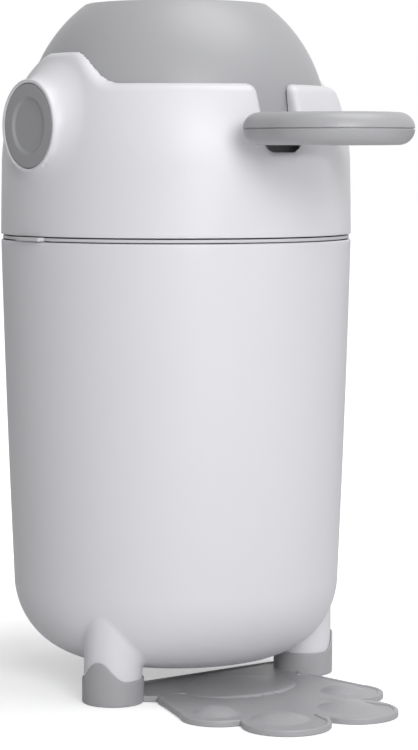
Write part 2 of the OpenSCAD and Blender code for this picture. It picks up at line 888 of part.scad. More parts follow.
// Upper half shell, with holes for the journals and the tenon
module drum_half() {
    difference() {
        union() {
            rotate_extrude() shell_section();
            for (a = post_angles) rotate([0, 0, a]) intersection() {
                union() {
                    translate([drum_screw_r, 0, 0]) cylinder(r = drum_boss_r, h = drum_boss_h);
                    translate([drum_screw_r, -drum_rib_t / 2, 0]) cube([far, drum_rib_t, drum_boss_h]);
                }
                sphere(r = drum_r - drum_wall / 2);
            }
        }
        rotate([0, 90, 0]) translate([0, 0, -far]) cylinder(r = journal_r + fit, h = 2 * far);
        for (a = post_angles) rotate([0, 0, a]) translate([drum_screw_r, 0, -1])
            cylinder(r = small_screw_r + screw_play, h = drum_boss_h + 2);
    }
}

// Hole for the handle's tenon in the drum's wall
module tenon_hole() {
    translate([-tenon_w / 2 - fit, -far, -handle_drop - tenon_h / 2 - fit])
        cube([tenon_w + 2 * fit, far - tenon_in, tenon_h + 2 * fit]);
}

module drum_shell_upper() {
    color(grey) in_frame() drum_frame() difference() {
        drum_half();
        tenon_hole();
    }
}

module drum_shell_lower() {
    color(grey) in_frame() drum_frame() difference() {
        mirror([0, 0, 1]) drum_half();
        tenon_hole();
    }
}

module chamber_tube() {
    color(light_grey) in_frame() drum_frame() translate([0, 0, -tube_half_h]) difference() {
        cylinder(r = chamber_r + chamber_wall, h = 2 * tube_half_h);
        translate([0, 0, -1]) cylinder(r = chamber_r, h = 2 * tube_half_h + 2);
    }
}

// Mouth ring with a short skirt round the end of the chamber tube
module rim_ring() {
    mouth_r = chamber_r - rim_overhang;
    skirt_in = chamber_r + chamber_wall + fit;
    out_r = flange_in_r - fit;
    rotate_extrude() {
        translate([mouth_r, tube_half_h]) square([out_r - mouth_r, rim_ring_h]);
        translate([skirt_in, tube_half_h - rim_skirt_h])
            square([out_r - skirt_in, rim_skirt_h + rim_ring_h]);
    }
}

module rim_ring_upper() {
    color(grey) in_frame() drum_frame() rim_ring();
}

module rim_ring_lower() {
    color(grey) in_frame() drum_frame() mirror([0, 0, 1]) rim_ring();
}

// Hollow journal with a flange that lies against the inside of the half shells
module trunnion_at(side) {
    color(light_grey) in_frame() drum_frame() at_side(side) difference() {
        union() {
            translate([0, 0, journal_in_x]) cylinder(r = journal_r, h = cap_back_x - journal_in_x);
            intersection() {
                translate([0, 0, journal_in_x]) cylinder(r = journal_r + journal_flange, h = far);
                sphere(r = drum_r - drum_wall - fit);
            }
        }
        cylinder(r = journal_r - journal_wall, h = far);
    }
}

module trunnion_left() {
    trunnion_at(-1);
}

module trunnion_right() {
    trunnion_at(1);
}

// Round cover with a dished face and a spigot in the journal
module cap_at(side) {
    spigot_r = journal_r - journal_wall - fit;
    color(dark_grey) in_frame() drum_frame() at_side(side) difference() {
        union() {
            translate([0, 0, cap_back_x]) cylinder(r = cap_r, h = cap_t);
            translate([0, 0, cap_back_x - spigot_l]) cylinder(r = spigot_r, h = spigot_l + 1);
        }
        translate([0, 0, cap_face_x - cap_dish_depth]) cylinder(r = cap_dish_r, h = far);
        translate([0, 0, cap_back_x - spigot_l - 1]) cylinder(r = spigot_r - spigot_wall, h = spigot_l + 1);
    }
}

module pivot_cap_left() {
    cap_at(-1);
}

module pivot_cap_right() {
    cap_at(1);
}

module drum_screws() {
    color(steel) in_frame() drum_frame() for (a = post_angles) rotate([0, 0, a])
        translate([drum_screw_r, 0, -drum_boss_h - small_head_h])
            screw(small_screw_r, 2 * drum_boss_h - 2, small_head_r, small_head_h);
}

// ---- Handle, in a frame on its own mid plane ----

module quarter_bend(r) {
    rotate_extrude(angle = 90) translate([handle_corner_r, 0]) circle(r = r);
}

// Closed loop of round bar: one round end, two sides, two corners and the inner bar
module handle_loop(r) {
    translate([0, -handle_out, 0]) rotate([0, 0, 180])
        rotate_extrude(angle = 180) translate([handle_arc_r, 0]) circle(r = r);
    for (side = [-1, 1]) {
        translate([side * handle_side_x, -handle_out, 0]) rotate([-90, 0, 0])
            cylinder(r = r, h = handle_out - corner_y);
    }
    translate([corner_x, -corner_y, 0]) quarter_bend(r);
    translate([-corner_x, -corner_y, 0]) rotate([0, 0, 90]) quarter_bend(r);
    translate([-corner_x, -handle_in, 0]) rotate([0, 90, 0]) cylinder(r = r, h = 2 * corner_x);
}

handle_posts = [
    [-handle_side_x, -handle_out], [handle_side_x, -handle_out],
    [-corner_x, -handle_in], [corner_x, -handle_in]
];

// Whole handle: hollow bar with screw posts, neck and tenon
module handle_solid() {
    difference() {
        union() {
            handle_loop(bar_r);
            difference() {
                translate([-neck_w / 2, -handle_in, -neck_h / 2])
                    cube([neck_w, handle_in - tenon_in, neck_h]);
                translate([0, 0, handle_drop]) sphere(r = drum_r + fit);
            }
            translate([-tenon_w / 2, -handle_in, -tenon_h / 2])
                cube([tenon_w, handle_in - tenon_in, tenon_h]);
        }
        difference() {
            handle_loop(hollow_r);
            for (p = handle_posts) translate([p[0], p[1], -bar_r])
                cylinder(r = handle_post_r, h = 2 * bar_r);
        }
        for (p = handle_posts) translate([p[0], p[1], 0]) {
            translate([0, 0, -far]) cylinder(r = small_screw_r + screw_play, h = far + bar_r - bar_wall);
            translate([0, 0, -far])
                cylinder(r = small_head_r + fit, h = far + handle_screw_z + small_head_h);
        }
        translate([-far, -neck_pin_y, 0]) rotate([0, 90, 0])
            cylinder(r = neck_pin_r + screw_play, h = 2 * far);
    }
}

module handle_upper() {
    color(grey) in_frame() translate([0, 0, handle_z]) intersection() {
        handle_solid();
        translate([-far, -far, parting / 2]) cube([2 * far, 2 * far, far]);
    }
}

module handle_lower() {
    color(grey) in_frame() translate([0, 0, handle_z]) intersection() {
        handle_solid();
        translate([-far, -far, -far - parting / 2]) cube([2 * far, 2 * far, far]);
    }
}

module handle_screws() {
    color(steel) in_frame() translate([0, 0, handle_z]) for (p = handle_posts)
        translate([p[0], p[1], handle_screw_z])
            screw(small_screw_r, handle_screw_l, small_head_r, small_head_h);
}

module neck_pin() {
    half = tenon_w / 2 + 4;
    color(steel) in_frame() translate([-half, -neck_pin_y, handle_z]) rotate([0, 90, 0])
        cylinder(r = neck_pin_r, h = 2 * half);
}

// ---- Piston, in the drum's frame ----

module piston_body() {
    color(light_grey) in_frame() drum_frame() difference() {
        translate([0, 0, piston_low]) cylinder(r = piston_r, h = piston_h);
        translate([0, 0, piston_low - 1])
            cylinder(r = piston_r - 2 * piston_wall, h = piston_h - piston_wall + 1);
        translate([0, 0, piston_low - 1]) cylinder(r = piston_r - piston_wall, h = cover_t + 1);
        for (z = [seal_low_z, seal_high_z]) translate([0, 0, z]) seal_ring(far);
    }
}

// Ring of the given outer radius whose bore lies on the groove's floor
module seal_ring(r) {
    difference() {
        cylinder(r = r, h = piston_seal_h);
        translate([0, 0, -1]) cylinder(r = piston_r - piston_groove, h = piston_seal_h + 2);
    }
}

module piston_cover() {
    color(grey) in_frame() drum_frame() translate([0, 0, piston_low])
        cylinder(r = piston_r - piston_wall - fit, h = cover_t);
}

module piston_seal_upper() {
    color(dark_grey) in_frame() drum_frame() translate([0, 0, seal_high_z])
        seal_ring(chamber_r - seal_play);
}

module piston_seal_lower() {
    color(dark_grey) in_frame() drum_frame() translate([0, 0, seal_low_z]) seal_ring(chamber_r - seal_play);
}

bin_body();
bin_bowl();
leg_left();
leg_right();
leg_rear();
boot_left();
boot_right();
boot_rear();
foot_plate();
grip_pads();
foot_screws();
bag_ring();
ring_gasket();
release_latch();
hinge_pin();
collar_shell();
drum_cradle();
cradle_seal();
bush_left();
bush_right();
cradle_screws();
drum_shell_upper();
drum_shell_lower();
chamber_tube();
rim_ring_upper();
rim_ring_lower();
trunnion_left();
trunnion_right();
pivot_cap_left();
pivot_cap_right();
drum_screws();
handle_upper();
handle_lower();
handle_screws();
neck_pin();
piston_body();
piston_cover();
piston_seal_upper();
piston_seal_lower();
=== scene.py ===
import math

import bmesh
import bpy
import numpy as np
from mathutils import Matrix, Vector


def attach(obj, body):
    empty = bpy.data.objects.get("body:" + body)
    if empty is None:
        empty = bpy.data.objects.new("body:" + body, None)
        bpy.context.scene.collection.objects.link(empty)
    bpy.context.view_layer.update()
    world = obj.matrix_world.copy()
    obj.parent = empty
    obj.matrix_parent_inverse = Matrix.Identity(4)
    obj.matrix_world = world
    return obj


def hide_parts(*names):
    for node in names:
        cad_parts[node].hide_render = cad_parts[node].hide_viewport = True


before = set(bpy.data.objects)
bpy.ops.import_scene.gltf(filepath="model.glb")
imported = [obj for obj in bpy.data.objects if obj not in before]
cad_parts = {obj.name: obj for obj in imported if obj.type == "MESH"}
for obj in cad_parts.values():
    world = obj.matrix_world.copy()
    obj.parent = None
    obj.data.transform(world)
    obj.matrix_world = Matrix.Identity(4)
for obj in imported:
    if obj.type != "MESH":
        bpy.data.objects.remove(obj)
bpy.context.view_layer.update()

# Shapes are worked out in millimetres round the bin's own axis, with the floor at zero,
# and are shifted into the frame when a mesh is made.
binAxis = {"offsetY": 46.0, "drumZ": 443.5}
quarter = math.pi / 2


def toFrame(points):
    moved = np.array(points, float).reshape(-1, 3)
    moved[:, 1] += binAxis["offsetY"]
    return moved / 1000


def addObject(name, data):
    item = bpy.data.objects.new(name, data)
    bpy.context.scene.collection.objects.link(item)
    return item


def finishMesh(mesh, sharpDegrees):
    mesh.validate()
    mesh.shade_smooth()
    mesh.set_sharp_from_angle(angle=math.radians(sharpDegrees))
    mesh.update()


def turnOutward(mesh, sharpDegrees, closeHoles=False):
    bm = bmesh.new()
    bm.from_mesh(mesh)
    if closeHoles:
        bmesh.ops.holes_fill(bm, edges=[e for e in bm.edges if e.is_boundary], sides=0)
    bmesh.ops.recalc_face_normals(bm, faces=bm.faces)
    bm.to_mesh(mesh)
    bm.free()
    finishMesh(mesh, sharpDegrees)


def give(piece, body, slot, *nodes):
    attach(piece, body)
    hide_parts(*nodes)


# one object from several (points, faces) parts
def makePiece(name, parts, body, slot, nodes, sharpDegrees=35, weld=0.0, outward=False, closeHoles=False):
    points, faces, start = [], [], 0
    for partPoints, partFaces in parts:
        points.append(toFrame(partPoints))
        faces += [tuple(int(i) + start for i in f) for f in partFaces]
        start += len(points[-1])
    mesh = bpy.data.meshes.new(name)
    mesh.from_pydata(np.concatenate(points).tolist(), [], faces)
    if weld:
        bm = bmesh.new()
        bm.from_mesh(mesh)
        bmesh.ops.remove_doubles(bm, verts=bm.verts, dist=weld / 1000)
        bm.to_mesh(mesh)
        bm.free()
    mesh.materials.append(materials[slot])
    finishMesh(mesh, sharpDegrees)
    if outward:
        turnOutward(mesh, sharpDegrees, closeHoles)
    give(addObject(name, mesh), body, slot, *nodes)


def anglesOf(count, shift=0.0):
    return (np.arange(count) + shift) * 2 * math.pi / count


def arc(r, z, radius, start, end, count):
    return [(r + radius * math.cos(a), z + radius * math.sin(a)) for a in np.linspace(start, end, count)]


# closed outline through corners given as (r, z, radius of the rounding)
def roundedLoop(corners, steps=6):
    outline = []
    for i, (r, z, radius) in enumerate(corners):
        here = np.array([r, z], float)
        before = np.array(corners[i - 1][:2], float) - here
        after = np.array(corners[(i + 1) % len(corners)][:2], float) - here
        if radius <= 0:
            outline.append(here)
            continue
        before /= np.linalg.norm(before)
        after /= np.linalg.norm(after)
        half = math.acos(max(-1, min(1, float(before @ after)))) / 2
        reach = radius / math.tan(half)
        middle = (before + after) / np.linalg.norm(before + after)
        centre = here + middle * radius / math.sin(half)
        a, b = here + before * reach - centre, here + after * reach - centre
        turn = math.pi - 2 * half
        for t in np.arange(steps + 1) / steps:
            outline.append(centre + (math.sin((1 - t) * turn) * a + math.sin(t * turn) * b) / math.sin(turn))
    return outline


# quads between rows of equally many points, each row a closed loop
def gridFaces(rows, count, closed=True):
    faces = []
    for i in range(rows if closed else rows - 1):
        a, b = i * count, (i + 1) % rows * count
        for j in range(count):
            k = (j + 1) % count
            faces.append((a + j, a + k, b + k, b + j))
    return faces


def lathe(profile, count=256, axis="Z", side=1, closed=True):
    profile = np.array(profile, float)
    angles = anglesOf(count, 0.5)
    r, h = profile[:, 0][:, None], profile[:, 1][:, None]
    along = h + 0 * angles
    if axis == "Z":
        grid = np.stack([r * np.cos(angles), r * np.sin(angles), along], -1)
    else:
        grid = np.stack([side * along, side * r * np.cos(angles), r * np.sin(angles) + binAxis["drumZ"]], -1)
    faces = [(a, d, c, b) for a, b, c, d in gridFaces(len(profile), count, closed)]
    return grid.reshape(-1, 3), faces


def ring(profile, **kwargs):
    p = np.array(profile, float)
    q = np.roll(p, -1, axis=0)
    area = np.sum(p[:, 0] * q[:, 1] - q[:, 0] * p[:, 1])
    return lathe(profile[::-1] if area > 0 else profile, **kwargs)


def cylinderAlongY(x, z, r, half, bore, edge=0.6, count=48):
    outline = roundedLoop([(bore, -half, 0), (r, -half, edge), (r, half, edge), (bore, half, 0)], 4)
    points, faces = ring(outline, count=count)
    return np.stack([x + points[:, 0], points[:, 2], z + points[:, 1]], -1), [f[::-1] for f in faces]


def roundedBox(low, high, r, steps=4):
    low, high = np.array(low, float), np.array(high, float)
    half = (high - low) / 2
    tilts = [*np.linspace(-quarter, 0, steps + 1)[:-1], *np.linspace(0, quarter, steps + 1)[1:]]
    points = []
    for tilt in tilts:
        edge, h = r * math.cos(tilt), math.copysign(half[2] - r, tilt) + r * math.sin(tilt)
        for qx, qy, start in ((1, 1, 0), (-1, 1, 90), (-1, -1, 180), (1, -1, 270)):
            cx, cy = qx * (half[0] - r), qy * (half[1] - r)
            for a in np.radians(np.linspace(start, start + 90, steps + 1)):
                points.append((cx + edge * math.cos(a), cy + edge * math.sin(a), h))
    rows, count = len(tilts), 4 * (steps + 1)
    faces = gridFaces(rows, count, closed=False)
    faces.append(tuple(range(count - 1, -1, -1)))
    faces.append(tuple(range((rows - 1) * count, rows * count)))
    return np.array(points) + (low + high) / 2, faces


# joins of distance fields, rounded with radius r
def roundMax(a, b, r):
    return np.minimum(np.maximum(a, b), -r) + np.hypot(np.maximum(a + r, 0), np.maximum(b + r, 0))


def roundMin(a, b, r):
    return -roundMax(-a, -b, r)


def roundAxis(r, t, z):
    return np.stack([r * np.cos(t), r * np.sin(t), z], -1)


# surface where a distance field is zero, on a grid of radii, angles and heights
def surfaceNet(field, rs, ts, zs, steps=6):
    grid = roundAxis(*np.meshgrid(rs, ts, zs, indexing="ij"))
    value = field(grid)
    nr, nt, nz = value.shape
    total = np.zeros((nr - 1, nt, nz - 1, 3))
    count = np.zeros((nr - 1, nt, nz - 1))

    def crossing(f0, f1, p0, p1):
        hit = (f0 < 0) != (f1 < 0)
        t = np.where(hit, f0 / np.where(hit, f0 - f1, 1), 0)
        return hit, (p0 + t[..., None] * (p1 - p0)) * hit[..., None]

    hitR, midR = crossing(value[:-1], value[1:], grid[:-1], grid[1:])
    hitT, midT = crossing(value, np.roll(value, -1, 1), grid, np.roll(grid, -1, 1))
    hitZ, midZ = crossing(value[:, :, :-1], value[:, :, 1:], grid[:, :, :-1], grid[:, :, 1:])
    for j in (0, 1):
        for k in (0, 1):
            total += np.roll(midR, -j, 1)[:, :, k:k + nz - 1]
            count += np.roll(hitR, -j, 1)[:, :, k:k + nz - 1]
            total += midT[j:j + nr - 1, :, k:k + nz - 1]
            count += hitT[j:j + nr - 1, :, k:k + nz - 1]
            total += np.roll(midZ, -k, 1)[j:j + nr - 1]
            count += np.roll(hitZ, -k, 1)[j:j + nr - 1]
    used = count > 0
    index = np.where(used, np.cumsum(used).reshape(used.shape) - 1, -1)
    points = total[used] / count[used][:, None]
    back = np.roll(index, 1, 1)
    inside = value < 0

    def quads(hit, starts, a, b, c, d):
        found = np.stack([a[hit], b[hit], c[hit], d[hit]], -1)
        flip = ~starts[hit]
        found[flip] = found[flip][:, ::-1]
        return found[(found >= 0).all(1)]

    faces = np.concatenate([
        quads(hitR[:, :, 1:-1], inside[:-1, :, 1:-1],
              back[:, :, :-1], index[:, :, :-1], index[:, :, 1:], back[:, :, 1:]),
        quads(hitT[1:-1, :, 1:-1], inside[1:-1, :, 1:-1],
              index[:-1, :, :-1], index[:-1, :, 1:], index[1:, :, 1:], index[1:, :, :-1]),
        quads(hitZ[1:-1], inside[1:-1, :, :-1], back[:-1], back[1:], index[1:], index[:-1]),
    ])
    # the points then slide down the field's slope onto the surface
    nudge, longest = 0.04, 0.8
    shifts = np.eye(3) * nudge
    for _ in range(steps):
        slope = np.stack([(field(points + s) - field(points - s)) / (2 * nudge) for s in shifts], -1)
        size = np.maximum((slope ** 2).sum(-1), 0.2)
        move = -(field(points) / size)[:, None] * slope
        length = np.linalg.norm(move, axis=1, keepdims=True)
        points = points + move * np.minimum(1, longest / np.maximum(length, 1e-9))
    return points, faces


socketKinds = {float: "NodeSocketFloat", int: "NodeSocketInt"}


# an input is a label with its first value, or with a socket kind where it has no first value
def newTree(name, kind, inputs, outputs):
    tree = bpy.data.node_groups.new(name, kind)
    for label, value in inputs.items():
        known = type(value) in socketKinds
        socketKind = socketKinds[type(value)] if known else value
        socket = tree.interface.new_socket(label, in_out="INPUT", socket_type=socketKind)
        if known:
            socket.default_value = value
    for label, socketKind in outputs.items():
        tree.interface.new_socket(label, in_out="OUTPUT", socket_type=socketKind)
    return tree, tree.nodes.new("NodeGroupInput"), tree.nodes.new("NodeGroupOutput")


# sockets are named by label in camelCase, or by place as i0, i1 and so on
def addNode(tree, kind, settings=None, **sockets):
    node = tree.nodes.new(kind)
    for key, value in (settings or {}).items():
        setattr(node, key, value)
    for key, value in sockets.items():
        label = "".join(" " + c if c.isupper() else c for c in key)
        target = node.inputs[int(key[1:]) if key[1:].isdigit() else label[0].upper() + label[1:]]
        if isinstance(value, bpy.types.NodeSocket):
            tree.links.new(value, target)
        else:
            target.default_value = value
    return node


def emptyTree(owner):
    owner.use_nodes = True
    owner.node_tree.nodes.clear()
    return owner.node_tree


def mathNode(tree, operation, a, b, clamp=False):
    settings = {"operation": operation, "use_clamp": clamp}
    return addNode(tree, "ShaderNodeMath", settings, i0=a, i1=b).outputs[0]


def plus(tree, a, b, clamp=False):
    return mathNode(tree, "ADD", a, b, clamp)


def minus(tree, a, b):
    return mathNode(tree, "SUBTRACT", a, b)


def times(tree, a, b):
    return mathNode(tree, "MULTIPLY", a, b)


def ranged(tree, value, cut, reach=(0.0, 1.0)):
    return addNode(tree, "ShaderNodeMapRange", {"clamp": True}, value=value, fromMin=cut[0], fromMax=cut[1],
                   toMin=reach[0], toMax=reach[1]).outputs["Result"]


def noise(tree, place, scale, detail, roughness):
    return addNode(tree, "ShaderNodeTexNoise", vector=place, scale=scale, detail=detail,
                   roughness=roughness).outputs["Fac"]


# noises are (scale, detail, roughness), where the grain's scale is an input; cuts are the values
# between which an effect comes in
surfaceSizes = {
    "grain": (2.0, 0.6), "cloud": (9.0, 4.0, 0.55), "flow": (46.0, 3.0, 0.6), "hair": (1.0, 2.0, 0.5),
    "hairTurn": (0.5, 0.9, 0.35), "hairScale": (260.0, 14.0, 22.0), "hairCut": (0.645, 0.70),
    "patch": (24.0, 2.0, 0.5), "patchCut": (0.48, 0.64), "ledgeCut": (0.55, 1.0),
    "speck": (420.0, 3.0, 0.7), "speckCut": (0.5, 0.72), "flowShade": 0.012,
    "cloudRough": 0.12, "grainRough": 0.10, "marksGloss": 0.10, "dustRough": 0.15, "marksDepth": 0.6,
}


def mouldedGroup():
    s = surfaceSizes
    number = "NodeSocketFloat"
    tree, given, gives = newTree("mouldedSurface", "ShaderNodeTree", {
        "Vector": "NodeSocketVector", "Grain Scale": 1500.0, "Mottle": 0.02, "Marks": 0.3, "Dust": 0.3,
        "Roughness": 0.4,
    }, {"Shade": number, "Roughness": number, "Height": number, "Dust Mask": number})
    value = given.outputs
    place = value["Vector"]

    def swing(fac, share):
        return times(tree, minus(tree, fac, 0.5), share)

    grain = noise(tree, place, value["Grain Scale"], *s["grain"])
    cloud = noise(tree, place, *s["cloud"])
    drawn = addNode(tree, "ShaderNodeMapping", vector=place, rotation=s["hairTurn"], scale=s["hairScale"])
    line = ranged(tree, noise(tree, drawn.outputs[0], *s["hair"]), s["hairCut"])
    patch = ranged(tree, noise(tree, place, *s["patch"]), s["patchCut"])
    marks = times(tree, times(tree, line, patch), value["Marks"])
    normal = addNode(tree, "ShaderNodeNewGeometry").outputs["Normal"]
    upward = addNode(tree, "ShaderNodeSeparateXYZ", vector=normal).outputs["Z"]
    speck = ranged(tree, noise(tree, place, *s["speck"]), s["speckCut"])
    dust = times(tree, times(tree, ranged(tree, upward, s["ledgeCut"]), speck), value["Dust"])
    flow = swing(noise(tree, place, *s["flow"]), s["flowShade"])
    rough = plus(tree, value["Roughness"], swing(cloud, s["cloudRough"]))
    rough = plus(tree, rough, swing(grain, s["grainRough"]))
    rough = minus(tree, rough, times(tree, marks, s["marksGloss"]))
    results = {
        "Shade": plus(tree, plus(tree, swing(cloud, value["Mottle"]), flow), 1.0),
        "Roughness": plus(tree, rough, times(tree, dust, s["dustRough"]), clamp=True),
        "Height": minus(tree, grain, times(tree, marks, s["marksDepth"])),
        "Dust Mask": dust,
    }
    for label, socket in results.items():
        tree.links.new(socket, gives.inputs[label])
    return tree


finishes = {
    "white_plastic": {"colour": (0.74, 0.735, 0.765), "roughness": 0.42, "grain": 1400.0, "dust": 0.12},
    "grey_plastic": {"colour": (0.39, 0.39, 0.405), "roughness": 0.40, "grain": 1300.0, "mottle": 0.05,
                     "bump": 0.08, "dust": 0.35},
    "dark_grey_plastic": {"colour": (0.34, 0.34, 0.35), "roughness": 0.46, "grain": 1100.0, "mottle": 0.05,
                          "bump": 0.1, "dust": 0.3},
    "light_grey_plastic": {"colour": (0.62, 0.62, 0.64), "roughness": 0.45, "grain": 1200.0, "mottle": 0.04,
                           "bump": 0.08, "dust": 0.2},
    "soft_seal": {"colour": (0.09, 0.09, 0.10), "roughness": 0.7, "grain": 800.0, "mottle": 0.2, "bump": 0.2,
                  "dust": 0.4, "marks": 0.0},
    "screw_steel": {"colour": (0.62, 0.62, 0.63), "roughness": 0.3, "grain": 900.0, "mottle": 0.1,
                    "dust": 0.2, "metallic": 1.0},
}
dustColour = (0.55, 0.54, 0.52, 1)
bumpDistance = 0.0004


def mouldedSurface(name, group, colour, roughness, grain, mottle=0.02, marks=0.3, dust=0.3, bump=0.05,
                   metallic=0.0):
    material = bpy.data.materials.new(name)
    tree = emptyTree(material)
    place = addNode(tree, "ShaderNodeTexCoord").outputs["Object"]
    skin = addNode(tree, "ShaderNodeGroup", {"node_tree": group}, vector=place, grainScale=grain,
                   mottle=mottle, marks=marks, dust=dust, roughness=roughness).outputs
    tint = addNode(tree, "ShaderNodeVectorMath", {"operation": "SCALE"}, i0=colour, scale=skin["Shade"])
    dusty = addNode(tree, "ShaderNodeMix", {"data_type": "RGBA"}, i0=skin["Dust Mask"], i6=tint.outputs[0],
                    i7=dustColour)
    relief = addNode(tree, "ShaderNodeBump", strength=bump, distance=bumpDistance, height=skin["Height"])
    surface = addNode(tree, "ShaderNodeBsdfPrincipled", baseColor=dusty.outputs[2],
                      roughness=skin["Roughness"], normal=relief.outputs[0], metallic=metallic)
    addNode(tree, "ShaderNodeOutputMaterial", surface=surface.outputs[0])
    material.diffuse_color = (*colour, 1)
    return material


moulded = mouldedGroup()
materials = {}
for slot, values in finishes.items():
    materials[slot] = mouldedSurface(slot.replace("_", " "), moulded, **values)
print("materials ready")


bodySizes = {
    "topZ": 355.0, "topR": 139.3, "midZ": 225.0, "midR": 135.6, "lowZ": 85.5, "lowR": 130.3,
    "roundR": 64.0, "floorZ": 21.5, "wall": 2.8, "outEdge": 0.9, "inEdge": 0.6, "lipZ": 351.0,
    "joinZ": 345.0, "legR": 22.5, "legFoot": 7.0, "legTopGap": 6.0, "legBlend": 4.0, "blendGain": 1.2,
    "frontFoot": (95.5, -46.0), "rearFootY": 86.0, "segments": 320,
    "netR": (30, 66, 142), "netZ": (4, 112, 354), "netStep": (4, 2.0, 8.0), "weld": 0.12,
    "insideRings": (50, 30, 12, 3), "undersideRings": (18, 4),
}
footX, footY = bodySizes["frontFoot"]
feet = {"left": (-footX, footY), "right": (footX, footY), "rear": (0.0, bodySizes["rearFootY"])}


# parabola through the three measured radii
def bodyRadius(z):
    s = bodySizes
    z0, z1, z2 = s["lowZ"], s["midZ"], s["topZ"]
    return (s["lowR"] * (z - z1) * (z - z2) / ((z0 - z1) * (z0 - z2))
            + s["midR"] * (z - z0) * (z - z2) / ((z1 - z0) * (z1 - z2))
            + s["topR"] * (z - z0) * (z - z1) / ((z2 - z0) * (z2 - z1)))


def bodyField(p):
    s = bodySizes
    x, y, z = p[..., 0], p[..., 1], p[..., 2]
    r = np.hypot(x, y)
    dr, dz = np.maximum(r - s["lowR"] + s["roundR"], 0), np.maximum(s["lowZ"] - z, 0)
    curve = np.hypot(dr, dz) - s["roundR"]
    result = np.where(z > s["lowZ"], r - bodyRadius(z), np.maximum(curve, s["floorZ"] - z))
    reach = np.maximum(np.hypot(dr, dz), 1e-6)
    for fx, fy in feet.values():
        away = np.hypot(x - fx, y - fy)
        leg = np.maximum(away - s["legR"], s["legFoot"] - z)
        leg = np.maximum(leg, z - s["lowZ"] + s["legTopGap"])
        # rounded only where leg and body meet at an angle, not where both face the same way
        cosine = ((x - fx) * x + (y - fy) * y) / np.maximum(away * r, 1e-6) * dr / reach
        blend = s["legBlend"] * np.clip(s["blendGain"] * (1 - cosine), 0, 1) + 0.01
        result = roundMin(result, leg, blend)
    return result


def makeBody():
    s = bodySizes
    (r0, r1, r2), (z0, z1, z2), (wide, fine, tall) = s["netR"], s["netZ"], s["netStep"]
    rs = np.concatenate([np.arange(r0, r1, wide), np.arange(r1, r2, fine)])
    zs = np.concatenate([np.arange(z0, z1, fine), np.arange(z1, z2, tall)])
    points, faces = surfaceNet(bodyField, rs, anglesOf(s["segments"]), zs)
    # the net's open upper rim is made level, and the lathed lip goes on from it
    top = (zs[-1] + zs[-2]) / 2
    rim = points[:, 2] > top - fine
    angle = np.arctan2(points[rim, 1], points[rim, 0])
    points[rim] = roundAxis(bodyRadius(top), angle, np.full(angle.shape, top))
    inR, inRoundR, floorTop = s["topR"] - s["wall"], s["roundR"] - s["wall"], s["floorZ"] + s["wall"]
    lip = [(bodyRadius(z), z) for z in (top, s["lipZ"])]
    lip += arc(s["topR"] - s["outEdge"], s["topZ"] - s["outEdge"], s["outEdge"], 0, quarter, 6)
    lip += arc(inR + s["inEdge"], s["topZ"] - s["inEdge"], s["inEdge"], quarter, math.pi, 5)
    lip += [(bodyRadius(z) - s["wall"], z) for z in np.linspace(s["joinZ"], s["lowZ"], 16)]
    lip += arc(s["lowR"] - s["roundR"], s["lowZ"], inRoundR, -0.08, -quarter, 18)
    lip += [(r, floorTop) for r in s["insideRings"]]
    lipPoints, lipFaces = lathe(lip, count=s["segments"], closed=False)
    # the net's first ring of cells leaves a hole in the flat underside
    flat = np.abs(points[:, 2] - s["floorZ"]) < 0.3
    holeR = np.hypot(points[:, 0], points[:, 1])[flat].min()
    undersideLine = [(r, s["floorZ"]) for r in (holeR, *s["undersideRings"])]
    underside = lathe(undersideLine, count=s["segments"], closed=False)
    parts = [(points, faces), (lipPoints, [f[::-1] for f in lipFaces]), underside]
    nodes = ["bin_body", "bin_bowl"] + ["leg_" + word for word in feet]
    makePiece("binShell", parts, "base", "white_plastic", nodes, weld=s["weld"], outward=True,
              closeHoles=True)


makeBody()
print("body done")


collarSizes = {
    "lowZ": 359.3, "outR": 139.5, "shoulderZ": 411.0, "shoulderR": 138.6, "arcR": 160.0, "topZ": 475.0,
    "humpRise": 25.0, "humpFlat": 14.0, "humpFlank": 50.0, "cutR": 121.2, "wall": 3.2, "roofZ": 446.0,
    "slotHalf": 16.3, "slotLowZ": 425.0, "slotCornerR": 8.0, "slotEdge": 7.0, "topEdge": 6.5,
    "humpEdge": 4.0, "lowEdge": 0.8, "inEdge": 0.6, "bossFace": 141.2, "bossR": 35.1, "flare": 17.0,
    "bossHollowR": 36.0, "recessR": 33.1, "recessX": 136.2, "boreR": 30.06, "rimR": (32.7, 35.7),
    "rimX": (136.0, 141.0, 141.8), "rimSlope": 0.8, "segments": 432, "netR": (104, 146, 1.25),
    "netZ": ((357.9, 362.5, 0.9), (363.8, 416, 2.9), (417, 503, 1.9)),
    "knuckle": {"x": 144.6, "z": 359.2, "r": 4.0, "half": 12.0, "bore": 1.66},
    # webs between wall and knuckle, beside the pin's bore and above it: low end, high end, outer end
    "webX": 136.6, "webInset": 0.4, "webs": ((359.32, 362.4, 142.4), (361.3, 363.15, 144.6)),
}


def collarOuterRadius(z):
    s = collarSizes
    low = s["outR"] + (s["shoulderR"] - s["outR"]) * (z - s["lowZ"]) / (s["shoulderZ"] - s["lowZ"])
    rise = np.clip(z - s["shoulderZ"], 0, s["arcR"] - 1)
    dome = s["shoulderR"] - s["arcR"] + np.sqrt(s["arcR"] ** 2 - rise ** 2)
    return np.where(z > s["shoulderZ"], dome, low)


def softFlank(share):
    return (1 + np.cos(math.pi * np.clip(share, 0, 1))) / 2


